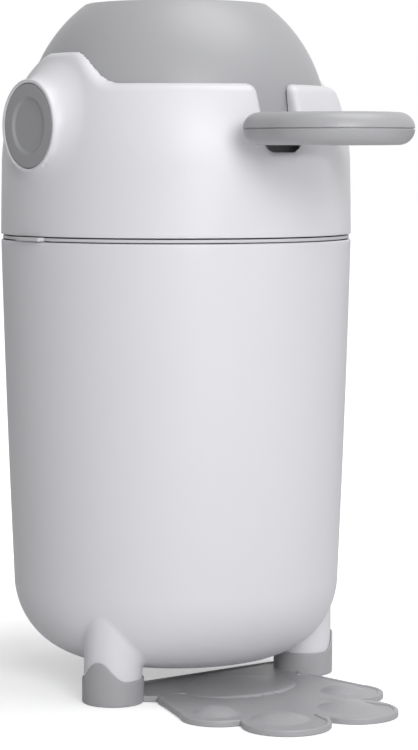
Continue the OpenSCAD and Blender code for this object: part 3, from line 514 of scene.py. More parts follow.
def collarField(p):
    s = collarSizes
    x, y, z = p[..., 0], p[..., 1], p[..., 2]
    r = np.hypot(x, y)
    up = z - binAxis["drumZ"]
    away = np.hypot(y, up)
    outR = collarOuterRadius(z)
    # the wall swells like a trumpet towards each boss
    t = np.clip((away - s["bossR"]) / s["flare"], 0, 1)
    base = np.sqrt(np.maximum(outR ** 2 - y ** 2, 1))
    face = base + (s["bossFace"] - base) * (1 - np.sqrt(1 - (1 - t) ** 2))
    trumpet = np.maximum(np.abs(x) - face, away - s["bossR"] - s["flare"])
    outer = np.minimum(r - outR, trumpet)
    flank = softFlank((np.abs(y) - s["humpFlat"]) / s["humpFlank"])
    top = z - s["topZ"] - s["humpRise"] * flank
    topEdge = s["topEdge"] - (s["topEdge"] - s["humpEdge"]) * flank
    slot = roundMax(np.abs(x) - s["slotHalf"], s["slotLowZ"] - z, s["slotCornerR"])
    result = roundMax(outer, -slot, s["slotEdge"])
    result = roundMax(result, top, topEdge)
    result = roundMax(result, s["cutR"] - np.sqrt(x ** 2 + y ** 2 + up ** 2), s["lowEdge"])
    result = roundMax(result, s["lowZ"] - z, s["lowEdge"])
    hollow = np.maximum(np.maximum(r - outR + s["wall"], z - s["roofZ"]), s["bossHollowR"] - away)
    result = roundMax(result, -hollow, s["inEdge"])
    bore = np.minimum(away - s["boreR"], np.maximum(away - s["recessR"], s["recessX"] - np.abs(x)))
    return np.maximum(result, -bore)


def makeCollar():
    s = collarSizes
    zs = np.concatenate([np.arange(*span) for span in s["netZ"]])
    parts = [surfaceNet(collarField, np.arange(*s["netR"]), anglesOf(s["segments"], 0.5), zs)]
    (rimIn, rimOut), (rimBack, rimSide, rimFace) = s["rimR"], s["rimX"]
    rim = roundedLoop([(rimIn, rimBack, 0), (rimOut, rimBack, 0), (rimOut, rimSide, 0.3),
                       (rimOut - s["rimSlope"], rimFace, 0.5), (rimIn, rimFace, 0.5)], 5)
    parts += [ring(rim, count=192, axis="X", side=side) for side in (-1, 1)]
    parts.append(cylinderAlongY(**s["knuckle"]))
    reach = s["knuckle"]["half"] - s["webInset"]
    for low, high, outX in s["webs"]:
        parts.append(roundedBox((s["webX"], -reach, low), (outX, reach, high), s["webInset"]))
    makePiece("collarShell", parts, "collar", "white_plastic", ["collar_shell"], sharpDegrees=32)


makeCollar()
print("collar done")


drumSizes = {
    "r": 120.0, "wall": 2.6, "halfH": 96.49, "lipR": 4.0, "parting": 0.15, "partingStep": 0.35,
    "flangeR": 66.5, "flangeSteps": ((3.5, 0.0), (0.5, 0.0), (0.1, 0.15), (0.0, 0.5)), "chamberR": 62.0,
    "tubeR": 64.0, "tubeHalf": 93.3, "mouthR": 59.0, "ringR": (64.35, 66.25), "ringZ": (84.5, 93.4, 96.48),
    "segments": 360, "ringSegments": 240,
}


# half section of the upper shell, with heights counted from the drum's axis
def shellOutline():
    s = drumSizes
    lipZ = s["halfH"] - s["lipR"]
    lipX = math.sqrt((s["r"] - s["lipR"]) ** 2 - lipZ ** 2)
    lipStart = math.atan2(lipZ, lipX)
    inR, inTop = s["r"] - s["wall"], s["halfH"] - s["wall"]
    inX = math.sqrt(inR ** 2 - inTop ** 2)
    outline = [(math.sqrt((s["r"] - s["partingStep"]) ** 2 - s["parting"] ** 2), s["parting"])]
    outline += arc(0, 0, s["r"], 0.0045, lipStart, 60)
    outline += arc(lipX, lipZ, s["lipR"], lipStart, quarter, 12)[1:]
    outline += [(s["flangeR"] + out, s["halfH"] - down) for out, down in s["flangeSteps"]]
    outline += [(s["flangeR"], inTop), (inX, inTop)]
    return outline + arc(0, 0, inR, math.atan2(inTop, inX), 0.003, 24)[1:]


def makeDrum():
    s = drumSizes
    z0 = binAxis["drumZ"]

    def turnedPiece(name, outline, side, count, slot, node):
        placed = [(r, z0 + side * h) for r, h in outline]
        makePiece(name, [ring(placed, count=count)], "drum", slot, [node])

    halves = {"upper": 1, "lower": -1}
    for word, side in halves.items():
        node = "drum_shell_" + word
        turnedPiece("drumShell_" + word, shellOutline(), side, s["segments"], "grey_plastic", node)
    half = s["tubeHalf"]
    tubeLoop = roundedLoop([(s["chamberR"], -half, 0.3), (s["tubeR"], -half, 0.3), (s["tubeR"], half, 0.3),
                            (s["chamberR"], half, 0.3)], 3)
    turnedPiece("chamberTube", tubeLoop, 1, s["ringSegments"], "light_grey_plastic", "chamber_tube")
    (inR, outR), (low, shelf, top) = s["ringR"], s["ringZ"]
    rimLoop = roundedLoop([(s["mouthR"], shelf, 0.5), (s["mouthR"], top, 1.4), (outR, top, 0.5),
                           (outR, low, 0.3), (inR, low, 0.3), (inR, shelf, 0)], 5)
    for word, side in halves.items():
        turnedPiece("rimRing_" + word, rimLoop, side, s["ringSegments"], "grey_plastic", "rim_ring_" + word)


makeDrum()


capSizes = {
    "r": 32.2, "face": 141.5, "back": 137.5, "backEdge": (1.0, 0.3), "edge": 0.7, "dishR": 22.4,
    "dishEdge": 0.6, "cove": 3.0, "dishDepth": 1.9, "dishFlatR": 8.0, "holeR": 0.4, "sharp": 50,
}


def makeCaps():
    s = capSizes
    inset, bevel = s["backEdge"]
    floor = s["face"] - s["dishDepth"]
    outline = [(s["holeR"], s["back"]), (s["r"] - inset, s["back"]), (s["r"] - bevel, s["back"] + bevel)]
    outline += arc(s["r"] - s["edge"], s["face"] - s["edge"], s["edge"], 0, quarter, 7)
    outline += [(s["dishR"] + s["dishEdge"], s["face"])]
    outline += [(s["dishR"] - s["cove"] * t, s["face"] - s["dishDepth"] * (1 - math.cos(math.pi * t)) / 2)
                for t in np.linspace(0.02, 1, 12)]
    outline += [(s["dishFlatR"], floor), (s["holeR"], floor)]
    for side, word in ((-1, "left"), (1, "right")):
        parts = [ring(outline, count=192, axis="X", side=side)]
        makePiece("pivotCap_" + word, parts, "drum", "dark_grey_plastic", ["pivot_cap_" + word],
                  sharpDegrees=s["sharp"], outward=True)


makeCaps()
print("drum done")


handleSizes = {
    "z": 440.5, "barR": 11.97, "inY": -153.0, "outY": -194.5, "arcR": 46.5, "cornerR": 15.0, "gap": 0.3,
    "neckHalf": 14.0, "neckHigh": 8.0, "neckY": (-112.0, -152.0), "neckPower": 3.0, "sharp": 45,
    # the neck grows towards the bar and towards the drum: start, reach, extra width, extra height
    "flare": (-132.0, 12.0, 9.0, 2.0), "root": (-118.0, 10.0, 2.0, 1.0),
    "seamEdge": 0.35, "seamInset": 0.12, "seamRound": 0.4, "seamLand": 1.2, "lapDepth": 0.25,
}


# centre line of the D-shaped bar as (x, y) with its outward direction
def handleCentre():
    s = handleSizes
    cx, cy = s["arcR"] - s["cornerR"], s["inY"] - s["cornerR"]
    line = [(x, s["inY"], 0, 1) for x in np.linspace(-cx, cx, 22)[:-1]]

    def bend(x, y, radius, start, end, count):
        for a in np.linspace(start, end, count)[:-1]:
            c, d = math.cos(a), math.sin(a)
            line.append((x + radius * c, y + radius * d, c, d))

    bend(cx, cy, s["cornerR"], quarter, 0, 17)
    line += [(s["arcR"], y, 1, 0) for y in np.linspace(cy, s["outY"], 9)[:-1]]
    bend(0, s["outY"], s["arcR"], 0, -math.pi, 61)
    line += [(-s["arcR"], y, -1, 0) for y in np.linspace(s["outY"], cy, 9)[:-1]]
    bend(-cx, cy, s["cornerR"], math.pi, quarter, 17)
    return line


# half of a rounded section; power 2 is an ellipse, and the upper half can lap into the lower one
def halfSection(width, height, side, power=2.0, lap=True, steps=20):
    s = handleSizes
    gap, land, lowest = s["gap"], width - s["seamLand"], s["gap"] + s["seamEdge"]
    outline = []
    for a in np.linspace(0, math.pi, steps * 2 + 1):
        u = width * math.copysign(abs(math.cos(a)) ** (2 / power), math.cos(a))
        v = max(height * abs(math.sin(a)) ** (2 / power), lowest)
        if v > lowest + 1e-6 or abs(abs(u) - width) < 1e-6:
            outline.append((u, v))
    seam = [(land, gap), (width - s["seamRound"], gap), (width - s["seamInset"], gap + s["seamInset"])]
    outline += [(-u, v) for u, v in seam[::-1]]
    if side > 0 and lap:
        outline += [(-land, -s["lapDepth"]), (land, -s["lapDepth"])]
    outline += seam
    return [(u, side * v) for u, v in outline]


def sweep(sections, closed):
    rows, count = len(sections), len(sections[0])
    faces = gridFaces(rows, count, closed)
    if not closed:
        faces.append(tuple(range(count)))
        faces.append(tuple(range(rows * count - 1, (rows - 1) * count - 1, -1)))
    return np.concatenate([np.array(r) for r in sections]), faces


def makeHandle():
    s = handleSizes
    flareY, flareReach, flareW, flareH = s["flare"]
    rootY, rootReach, rootW, rootH = s["root"]
    for side, word in ((1, "upper"), (-1, "lower")):
        bar = halfSection(s["barR"], s["barR"], side)
        loops = [[(x + nx * u, y + ny * u, s["z"] + v) for u, v in bar] for x, y, nx, ny in handleCentre()]
        neck = []
        for y in np.linspace(*s["neckY"], 25):
            flare = max(0.0, min(1.0, (flareY - y) / flareReach)) ** 2
            root = max(0.0, min(1.0, 1 - (rootY - y) / rootReach)) ** 2
            width = s["neckHalf"] + flareW * flare + rootW * root
            height = s["neckHigh"] + flareH * flare + rootH * root
            section = halfSection(width, height, side, power=s["neckPower"], lap=False)
            neck.append([(u, y, s["z"] + v) for u, v in section])
        parts = [sweep(loops, True), sweep(neck, False)]
        makePiece("handle_half_" + word, parts, "drum", "grey_plastic", ["handle_" + word],
                  sharpDegrees=s["sharp"], outward=True)


makeHandle()
print("handle done")


bootSizes = {
    "r": 24.0, "bore": 22.8, "lowH": 19.4, "tongueH": 34.0, "flat": 1.5, "flank": 19.0, "sole": 7.2,
    "edge": 1.4, "lipW": 0.6, "lipH": 0.5, "screwR": 2.6, "headSeatZ": 3.1,
    "under": ((5.2, 3.1), (5.2, 0.5), (20.6, 0.5), (21.0, 0.0)), "segments": 160, "sharp": 40,
}


def makeBoot(word, fx, fy):
    s = bootSizes
    angles = anglesOf(s["segments"])
    turned = angles + math.atan2(fy, fx)
    side = np.abs(np.sin(angles)) * s["r"]
    rise = np.where(np.cos(angles) > 0, softFlank((side - s["flat"]) / s["flank"]), 0)
    lipZ = s["lowH"] + (s["tongueH"] - s["lowH"]) * rise - s["lipH"]
    section = [(s["screwR"], s["headSeatZ"]), *s["under"]]
    section += arc(s["r"] - s["edge"], s["edge"], s["edge"], -quarter, 0, 7)[1:]
    section += [(s["r"], s["edge"] + (lipZ - s["edge"]) * t) for t in np.linspace(0, 1, 12)[1:]]
    lipR = (s["r"] + s["bore"]) / 2
    section += [(lipR + s["lipW"] * math.cos(a), lipZ + s["lipH"] * math.sin(a))
                for a in np.linspace(0, math.pi, 9)[1:-1]]
    section += [(s["bore"], lipZ - (lipZ - s["sole"]) * t) for t in np.linspace(0, 1, 6)]
    section += [(s["screwR"], s["sole"])]
    rows = [roundAxis(r, turned, z + 0 * angles) + (fx, fy, 0) for r, z in section]
    parts = [(np.concatenate(rows), gridFaces(len(rows), s["segments"]))]
    makePiece("boot_shoe_" + word, parts, "base", "grey_plastic", ["boot_" + word],
              sharpDegrees=s["sharp"], outward=True)


for word, (fx, fy) in feet.items():
    makeBoot(word, fx, fy)
print("boots done")


# circles are (x, forward, radius) on one side of the paw, before it leans sideways
plateSizes = {
    "rimH": 5.0, "plateT": 4.2, "rearY": -17.0, "rays": 720, "rings": 120, "centre": 98.0,
    "searchR": (12, 160), "lean": 7.0, "leanY": 104.0, "side": (57.0, 86.0, 22.0),
    "lobe": (63.0, 143.0, 29.0), "bigLobe": (33.0, 194.0, 33.6), "corner": (84.0, -29.0, 12.0),
    "ear": (95.5, -46.0, 14.0), "inset": 1.0,
    "notchR": 2.5, "outerToe": (63.0, 140.0, 13.5), "innerToe": (33.0, 185.0, 16.5), "bumpH": 4.0,
    "bumpFoot": 0.8, "padY": 78.0, "padHalf": (49.0, 37.0), "padH": 3.4, "padEdge": 3.0,
    "padCrown": 800.0, "edgeR": 1.2,
    "underZ": 0.15, "underInset": 0.6, "footEdge": 0.7,
    # inner slope of the rim as distance from the outline, with heights below the rim and above the plate
    "rimDown": ((2.2, 0.0), (3.3, 0.0), (3.55, 0.08), (3.7, 0.3)),
    "rimUp": ((3.85, 0.25), (4.05, 0.06), (4.4, 0.0)),
}


def pawPoint(side, x, y):
    return side * x + math.tan(math.radians(plateSizes["lean"])) * (plateSizes["leanY"] - y), -y


def polygonDistance(px, py, corners):
    distance = np.full(px.shape, 1e9)
    inside = np.zeros(px.shape, bool)
    for (ax, ay), (bx, by) in zip(corners, corners[1:] + corners[:1]):
        ex, ey = bx - ax, by - ay
        t = np.clip(((px - ax) * ex + (py - ay) * ey) / (ex * ex + ey * ey), 0, 1)
        distance = np.minimum(distance, np.hypot(px - ax - t * ex, py - ay - t * ey))
        inside ^= ((ay > py) != (by > py)) & (px < ax + (py - ay) * ex / (ey if ey else 1e-9))
    return np.where(inside, -distance, distance)


# circles, ear and half of the core polygon on one side of the paw
def plateSide(side):
    s = plateSizes
    (sideX, sideY, sideR), (lobeX, lobeY, lobeR), (bigX, bigY, bigR) = s["side"], s["lobe"], s["bigLobe"]
    (cornerX, cornerY, cornerR), (earX, earY, earR) = s["corner"], s["ear"]
    hip, toe, big = pawPoint(side, sideX, sideY), pawPoint(side, lobeX, lobeY), pawPoint(side, bigX, bigY)
    along = math.atan2(toe[1] - hip[1], toe[0] - hip[0])
    reach = math.hypot(toe[0] - hip[0], toe[1] - hip[1])
    turn = along + side * (quarter + math.asin((lobeR - sideR) / reach))
    nx, ny = math.cos(turn), math.sin(turn)
    ends = ((*hip, sideR - s["inset"]), (*toe, lobeR - s["inset"]))
    flank = [(x + r * nx, y + r * ny) for x, y, r in ends]
    circles = [(*toe, lobeR), (*hip, sideR), (*big, bigR), (side * cornerX, cornerY, cornerR)]
    ear = (side * earX, earY, earR)
    return circles, ear, [(side * cornerX, s["rearY"]), ear[:2], hip, *flank, toe, big]


plateSides = [plateSide(1), plateSide(-1)]


def plateDistance(px, py):
    result = np.full(px.shape, 1e9)
    for circles, (earX, earY, earR), _ in plateSides:
        for cx, cy, r in circles:
            result = roundMin(result, np.hypot(px - cx, py - cy) - r, plateSizes["notchR"])
        result = np.minimum(result, np.hypot(px - earX, py - earY) - earR)
    core = plateSides[0][2] + plateSides[1][2][::-1]
    return np.minimum(result, polygonDistance(px, py, core))


def plateHeight(px, py):
    s = plateSizes
    height = np.full(px.shape, s["plateT"])
    for side in (-1, 1):
        for x, y, r in (s["outerToe"], s["innerToe"]):
            cx, cy = pawPoint(side, x, y)
            ball = (r * r + s["bumpH"] ** 2) / (2 * s["bumpH"])
            away = np.hypot(px - cx, py - cy)
            dome = s["plateT"] + s["bumpH"] - ball + np.sqrt(np.maximum(ball ** 2 - away ** 2, 0))
            height = -roundMin(-height, -dome, s["bumpFoot"])
    cx, cy = pawPoint(0, 0, s["padY"])
    rx, ry = s["padHalf"]
    edge = (1 - np.hypot((px - cx) / rx, (py - cy) / ry)) * min(rx, ry)
    crown = s["padH"] - np.hypot(px - cx, py - cy) ** 2 / s["padCrown"]
    pad = s["plateT"] + crown * np.sqrt(np.clip(1 - np.clip(1 - edge / s["padEdge"], 0, 1) ** 2, 0, 1))
    return np.maximum(height, np.where(edge > 0, pad, s["plateT"]))


def makePlate():
    s = plateSizes
    angles = anglesOf(s["rays"])
    dx, dy = np.cos(angles), np.sin(angles)
    cx, cy = pawPoint(0, 0, s["centre"])

    # radius of the outline along each ray, moved in by a depth
    def loopAt(depth):
        radii = np.linspace(*s["searchR"], 297)
        outside = plateDistance(cx + dx[:, None] * radii, cy + dy[:, None] * radii) + depth > 0
        near = radii[np.maximum(outside.argmax(1) - 1, 0)]
        beyond = near + 0.5
        for _ in range(18):
            middle = (near + beyond) / 2
            isIn = plateDistance(cx + dx * middle, cy + dy * middle) + depth < 0
            near, beyond = np.where(isIn, middle, near), np.where(isIn, beyond, middle)
        return (near + beyond) / 2

    top, edgeR, plateT = s["rimH"], s["edgeR"], s["plateT"]
    steps = [(s["underInset"], s["underZ"]), (0.0, s["footEdge"]), (0.0, top - edgeR)]
    steps += arc(edgeR, top - edgeR, edgeR, math.pi, quarter, 7)[1:]
    steps += [(depth, top - down) for depth, down in s["rimDown"]]
    steps += [(depth, plateT + up) for depth, up in s["rimUp"]]
    rows = []
    for depth, z in steps:
        r = loopAt(depth)
        x, y = cx + dx * r, cy + dy * r
        flat = np.full(r.shape, z)
        if depth > edgeR + 0.1:
            lift = plateHeight(x, y)
            flat = np.where(lift > plateT + 0.02, np.maximum(flat, lift), flat)
        rows.append(np.stack([x, y, flat], -1))
    for t in np.linspace(1, 0.02, s["rings"])[1:]:
        x, y = cx + dx * r * t, cy + dy * r * t
        rows.append(np.stack([x, y, plateHeight(x, y)], -1))
    middleZ = plateHeight(np.array([cx]), np.array([cy]))[0]
    points = np.concatenate(rows + [np.array([[cx, cy, middleZ], [cx, cy, s["underZ"]]])])
    count = s["rays"]
    faces = gridFaces(len(rows), count, closed=False)
    last, centre = (len(rows) - 1) * count, len(rows) * count
    for j in range(count):
        k = (j + 1) % count
        faces += [(last + j, last + k, centre), (k, j, centre + 1)]
    makePiece("footPlate", [(points, faces)], "base", "grey_plastic", ["foot_plate"], sharpDegrees=40)


makePlate()
print("plate done")


def upTo(tree, height):
    return addNode(tree, "ShaderNodeCombineXYZ", z=height).outputs[0]


def moved(tree, geometry, **sockets):
    return addNode(tree, "GeometryNodeTransform", geometry=geometry, **sockets).outputs[0]


def raiseBy(tree, geometry, height):
    return moved(tree, geometry, translation=upTo(tree, height))


def tube(tree, sides, lowR, highR, low, height):
    wall = addNode(tree, "GeometryNodeMeshCone", {"fill_type": "NONE"}, vertices=sides, radiusBottom=lowR,
                   radiusTop=highR, depth=height)
    return raiseBy(tree, wall.outputs["Mesh"], low)


def disc(tree, sides, r, height):
    cap = addNode(tree, "GeometryNodeMeshCircle", {"fill_type": "NGON"}, vertices=sides, radius=r)
    return raiseBy(tree, cap.outputs["Mesh"], height)


def circleCurve(tree, sides, r):
    kind = "GeometryNodeCurvePrimitiveCircle"
    return addNode(tree, kind, {"mode": "RADIUS"}, resolution=sides, radius=r).outputs[0]


def sweptCurve(tree, curve, profile):
    return addNode(tree, "GeometryNodeCurveToMesh", curve=curve, profileCurve=profile).outputs[0]


def rowOfPoints(tree, count, offset):
    return addNode(tree, "GeometryNodeMeshLine", {"mode": "OFFSET", "count_mode": "TOTAL"}, count=count,
                   offset=offset).outputs[0]


def spread(tree, points, instance, **sockets):
    kind = "GeometryNodeInstanceOnPoints"
    return addNode(tree, kind, points=points, instance=instance, **sockets).outputs[0]


def inPlane(tree, scale, scaleY=None):
    return addNode(tree, "ShaderNodeCombineXYZ", x=scale, y=scaleY or scale, z=1.0).outputs[0]


def joined(tree, parts):
    node = tree.nodes.new("GeometryNodeJoinGeometry")
    for part in reversed(parts):
        tree.links.new(part, node.inputs[0])
    return node.outputs[0]


# tree that takes points, the given inputs and a material, and gives what grows on the points
def newNodes(name, inputs):
    geometry = "NodeSocketGeometry"
    inputs = {"Geometry": geometry, **inputs, "Material": "NodeSocketMaterial"}
    return newTree(name, "GeometryNodeTree", inputs, {"Geometry": geometry})


def finishNodes(tree, given, gives, geometry):
    real = addNode(tree, "GeometryNodeRealizeInstances", geometry=geometry)
    welded = addNode(tree, "GeometryNodeMergeByDistance", geometry=real.outputs[0], distance=0.00001)
    painted = addNode(tree, "GeometryNodeSetMaterial", geometry=welded.outputs[0],
                      material=given.outputs["Material"])
    tree.links.new(painted.outputs[0], gives.inputs[0])
    return tree


# round head with a socket, straight shank and blunt tip, turned at random about its axis
def screwNodes():
    tree, given, gives = newNodes("screwRow", {
        "Head Radius": 0.003, "Head Height": 0.0018, "Shank Radius": 0.0015, "Length": 0.016,
        "Socket Radius": 0.0013, "Sides": 12, "Seed": 5,
    })
    value = given.outputs
    sides, headR, headH = value["Sides"], value["Head Radius"], value["Head Height"]
    shankR, socketR, length = value["Shank Radius"], value["Socket Radius"], value["Length"]
    crown, cup = times(tree, headH, 0.3), times(tree, headH, 0.6)
    faceR, tip = times(tree, headR, 0.86), times(tree, shankR, 0.5)
    tipStart = minus(tree, length, tip)
    one = joined(tree, [
        disc(tree, sides, socketR, cup), tube(tree, sides, socketR, socketR, 0.0, cup),
        tube(tree, sides, socketR, faceR, 0.0, 0.0), tube(tree, sides, faceR, headR, 0.0, crown),
        tube(tree, sides, headR, headR, crown, minus(tree, headH, crown)),
        tube(tree, sides, headR, shankR, headH, 0.0),
        tube(tree, sides, shankR, shankR, headH, minus(tree, tipStart, headH)),
        tube(tree, sides, shankR, tip, tipStart, tip), disc(tree, sides, tip, length),
    ])
    chance = addNode(tree, "FunctionNodeRandomValue", {"data_type": "FLOAT"}, seed=value["Seed"], i3=3.1)
    placed = spread(tree, value["Geometry"], one, rotation=upTo(tree, chance.outputs[1]))
    return finishNodes(tree, given, gives, placed)


# stack of soft lips, each wider than the one before by the flare
def sealNodes():
    tree, given, gives = newNodes("sealRing", {
        "Inner Radius": 0.06, "Outer Radius": 0.062, "Height": 0.004, "Middle": 0.0, "Lips": 2, "Flare": 0.0,
        "Sides": 160,
    })
    value = given.outputs
    half = times(tree, minus(tree, value["Outer Radius"], value["Inner Radius"]), 0.5)
    pitch = mathNode(tree, "DIVIDE", value["Height"], value["Lips"])
    lipHalf = times(tree, pitch, 0.5)
    line = circleCurve(tree, value["Sides"], plus(tree, value["Inner Radius"], half))
    shaped = moved(tree, circleCurve(tree, 12, 1.0), scale=inPlane(tree, half, lipHalf))
    lip = sweptCurve(tree, line, shaped)
    number = addNode(tree, "GeometryNodeInputIndex").outputs[0]
    wider = plus(tree, times(tree, number, value["Flare"]), 1.0)
    lips = spread(tree, rowOfPoints(tree, value["Lips"], upTo(tree, pitch)), lip, scale=inPlane(tree, wider))
    foot = minus(tree, value["Middle"], times(tree, value["Height"], 0.5))
    placed = spread(tree, value["Geometry"], raiseBy(tree, lips, plus(tree, foot, lipHalf)))
    return finishNodes(tree, given, gives, placed)


# disc with round ribs under it
def padNodes():
    tree, given, gives = newNodes("ribbedPads", {
        "Radius": 0.01, "Thickness": 0.0015, "Ribs": 4, "Rib Depth": 0.0004, "Sides": 40,
    })
    value = given.outputs
    sides, radius, depth, ribCount = value["Sides"], value["Radius"], value["Rib Depth"], value["Ribs"]
    plain = minus(tree, value["Thickness"], depth)
    core = addNode(tree, "GeometryNodeMeshCylinder", {"fill_type": "NGON"}, vertices=sides, radius=radius,
                   depth=plain)
    raised = raiseBy(tree, core.outputs["Mesh"], plus(tree, depth, times(tree, plain, 0.5)))
    number = addNode(tree, "GeometryNodeInputIndex").outputs[0]
    reach = times(tree, plus(tree, number, 0.6), mathNode(tree, "DIVIDE", radius, ribCount))
    rings = spread(tree, rowOfPoints(tree, ribCount, (0, 0, 0)), circleCurve(tree, sides, 1.0),
                   scale=inPlane(tree, reach))
    curves = addNode(tree, "GeometryNodeRealizeInstances", geometry=rings)
    ribs = sweptCurve(tree, curves.outputs[0], circleCurve(tree, 6, depth))
    one = joined(tree, [raised, raiseBy(tree, ribs, depth)])
    return finishNodes(tree, given, gives, spread(tree, value["Geometry"], one))


# points with a node tree on them, evaluated once into a plain mesh
def growPiece(name, node, body, slot, tree, places, values):
    mesh = bpy.data.meshes.new(name)
    mesh.from_pydata(toFrame(places).tolist(), [], [])
    piece = addObject(name, mesh)
    modifier = piece.modifiers.new("grow", "NODES")
    modifier.node_group = tree
    values = {**values, "Material": materials[slot]}
    for item in tree.interface.items_tree:
        if item.in_out == "INPUT" and item.name in values:
            modifier[item.identifier] = values[item.name]
    view = bpy.context.evaluated_depsgraph_get()
    grown = bpy.data.meshes.new_from_object(piece.evaluated_get(view), depsgraph=view)
    piece.modifiers.clear()
    piece.data = grown
    turnOutward(grown, 40)
    print(name, "has", len(grown.polygons), "faces")
    give(piece, body, slot, node)


# node inputs are in metres, places in millimetres; rows of screws are (radius, height)
smallSizes = {
    "screw": {"Head Radius": 0.003, "Head Height": 0.0018, "Shank Radius": 0.0015, "Length": 0.016,
              "Socket Radius": 0.0013, "Seed": 3},
    "footScrew": {"Head Radius": 0.005, "Head Height": 0.0024, "Shank Radius": 0.0024, "Length": 0.022,
                  "Socket Radius": 0.0022, "Seed": 7},
    "drumScrewLength": 0.026, "footScrewZ": 0.6, "handleScrewZ": 431.5,
    "cradleRow": (129.2, 414.7), "drumRow": (108.4, 427.7), "rowDegrees": (45, 135, 225, 315),
    "pad": {"Radius": 0.01},
    "gasket": {"Inner Radius": 0.1316, "Outer Radius": 0.1356, "Height": 0.004, "Lips": 2}, "gasketZ": 343.3,
    "lip": {"Inner Radius": 0.0811, "Outer Radius": 0.0835, "Height": 0.007, "Lips": 5, "Flare": 0.0173},
    "lipDrop": 86.48,
    "wiper": {"Inner Radius": 0.0597, "Outer Radius": 0.06193, "Height": 0.004, "Lips": 2},
    "wiperZ": {"lower": 357.5, "upper": 387.5},
}


def makeScrews():
    s = smallSizes
    screws = screwNodes()

    def row(r, z):
        return [(r * math.cos(a), r * math.sin(a), z) for a in np.radians(s["rowDegrees"])]

    under = [(x, y, s["footScrewZ"]) for x, y in feet.values()]
    steel = "screw_steel"
    h = handleSizes
    posts = ((h["arcR"], h["outY"]), (h["arcR"] - h["cornerR"], h["inY"]))
    handlePlaces = [(side * x, y, s["handleScrewZ"]) for side in (-1, 1) for x, y in posts]
    longer = {**s["screw"], "Length": s["drumScrewLength"]}
    growPiece("footScrews", "foot_screws", "base", steel, screws, under, s["footScrew"])
    growPiece("cradleScrews", "cradle_screws", "collar", steel, screws, row(*s["cradleRow"]), s["screw"])
    growPiece("drumScrews", "drum_screws", "drum", steel, screws, row(*s["drumRow"]), longer)
    growPiece("handleScrews", "handle_screws", "drum", steel, screws, handlePlaces, s["screw"])


def makeSoftPieces():
    s = smallSizes
    seals = sealNodes()
    toes = (plateSizes["outerToe"], plateSizes["innerToe"])
    places = [(*pawPoint(side, x, y), 0) for side in (-1, 1) for x, y, _ in toes]
    places.append((*pawPoint(0, 0, plateSizes["padY"]), 0))
    growPiece("gripPads", "grip_pads", "base", "soft_seal", padNodes(), places, s["pad"])

    def seal(name, node, body, z, values):
        growPiece(name, node, body, "soft_seal", seals, [(0, 0, z)], values)

    seal("ringGasket", "ring_gasket", "top_unit", s["gasketZ"], s["gasket"])
    seal("cradleSeal", "cradle_seal", "collar", binAxis["drumZ"] - s["lipDrop"], s["lip"])
    for word, z in s["wiperZ"].items():
        seal("wiper_" + word, "piston_seal_" + word, "piston", z, s["wiper"])


makeScrews()
makeSoftPieces()
print("small pieces done")


restSizes = {
    "weld": 0.002, "flatDegrees": 0.2, "bevelDegrees": 40, "bevel": 0.25, "sharpDegrees": 32,
    # the edge of the bag ring's band is drawn in to these heights, so that a seam shows on both sides
    "bandR": (137.0, 138.2), "bandZ": (355.0, 357.0, 359.2), "bandLow": 355.95, "bandHigh": 358.15,
}
restBodies = {
    "top_unit": {"bag_ring": "light_grey_plastic", "hinge_pin": "screw_steel"},
    "latch": {"release_latch": "light_grey_plastic"},
    "collar": {"drum_cradle": "white_plastic", "bush_left": "light_grey_plastic",
               "bush_right": "light_grey_plastic"},
    "drum": {"trunnion_left": "light_grey_plastic", "trunnion_right": "light_grey_plastic",
             "neck_pin": "screw_steel"},
    "piston": {"piston_body": "light_grey_plastic", "piston_cover": "grey_plastic"},
}
bevelled = ("release_latch", "piston_cover", "bag_ring")


def drawInBand(bm):
    s = restSizes
    (inR, outR), (low, middle, high) = s["bandR"], s["bandZ"]
    for v in bm.verts:
        r, z = math.hypot(v.co.x * 1000, v.co.y * 1000 - binAxis["offsetY"]), v.co.z * 1000
        if inR < r < outR and low < z < high:
            v.co.z = (s["bandHigh"] if z > middle else s["bandLow"]) / 1000


# inner pieces are cleaned copies of their solids
def makeRestPiece(body, node, slot):
    s = restSizes
    bm = bmesh.new()
    bm.from_mesh(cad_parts[node].data)
    bmesh.ops.remove_doubles(bm, verts=bm.verts, dist=s["weld"] / 1000)
    if node == "bag_ring":
        drawInBand(bm)
    bmesh.ops.dissolve_limit(bm, angle_limit=math.radians(s["flatDegrees"]), verts=bm.verts, edges=bm.edges)
    if node in bevelled:
        least = math.radians(s["bevelDegrees"])
        sharp = [e for e in bm.edges if len(e.link_faces) == 2 and e.calc_face_angle() > least]
        bmesh.ops.bevel(bm, geom=sharp, offset=s["bevel"] / 1000, segments=2, affect="EDGES",
                        clamp_overlap=True, profile=0.5)
    bmesh.ops.triangulate(bm, faces=[f for f in bm.faces if len(f.verts) > 4])
    bmesh.ops.recalc_face_normals(bm, faces=bm.faces)
    first, *others = node.split("_")
    mesh = bpy.data.meshes.new(first + "".join(word.capitalize() for word in others))
    bm.to_mesh(mesh)
    bm.free()
    mesh.materials.append(materials[slot])
    finishMesh(mesh, s["sharpDegrees"])
    give(addObject(mesh.name, mesh), body, slot, node)


for body, slots in restBodies.items():
    for node, slot in slots.items():
        makeRestPiece(body, node, slot)
print("rest done")


cameraSizes = {
    "place": (-1.2036, -1.5513, 0.419), "azimuth": 37.0, "down": 4.96, "lens": 120.0, "sensor": 36.0,
    "shiftX": 0.044, "clipEnd": 60,
}


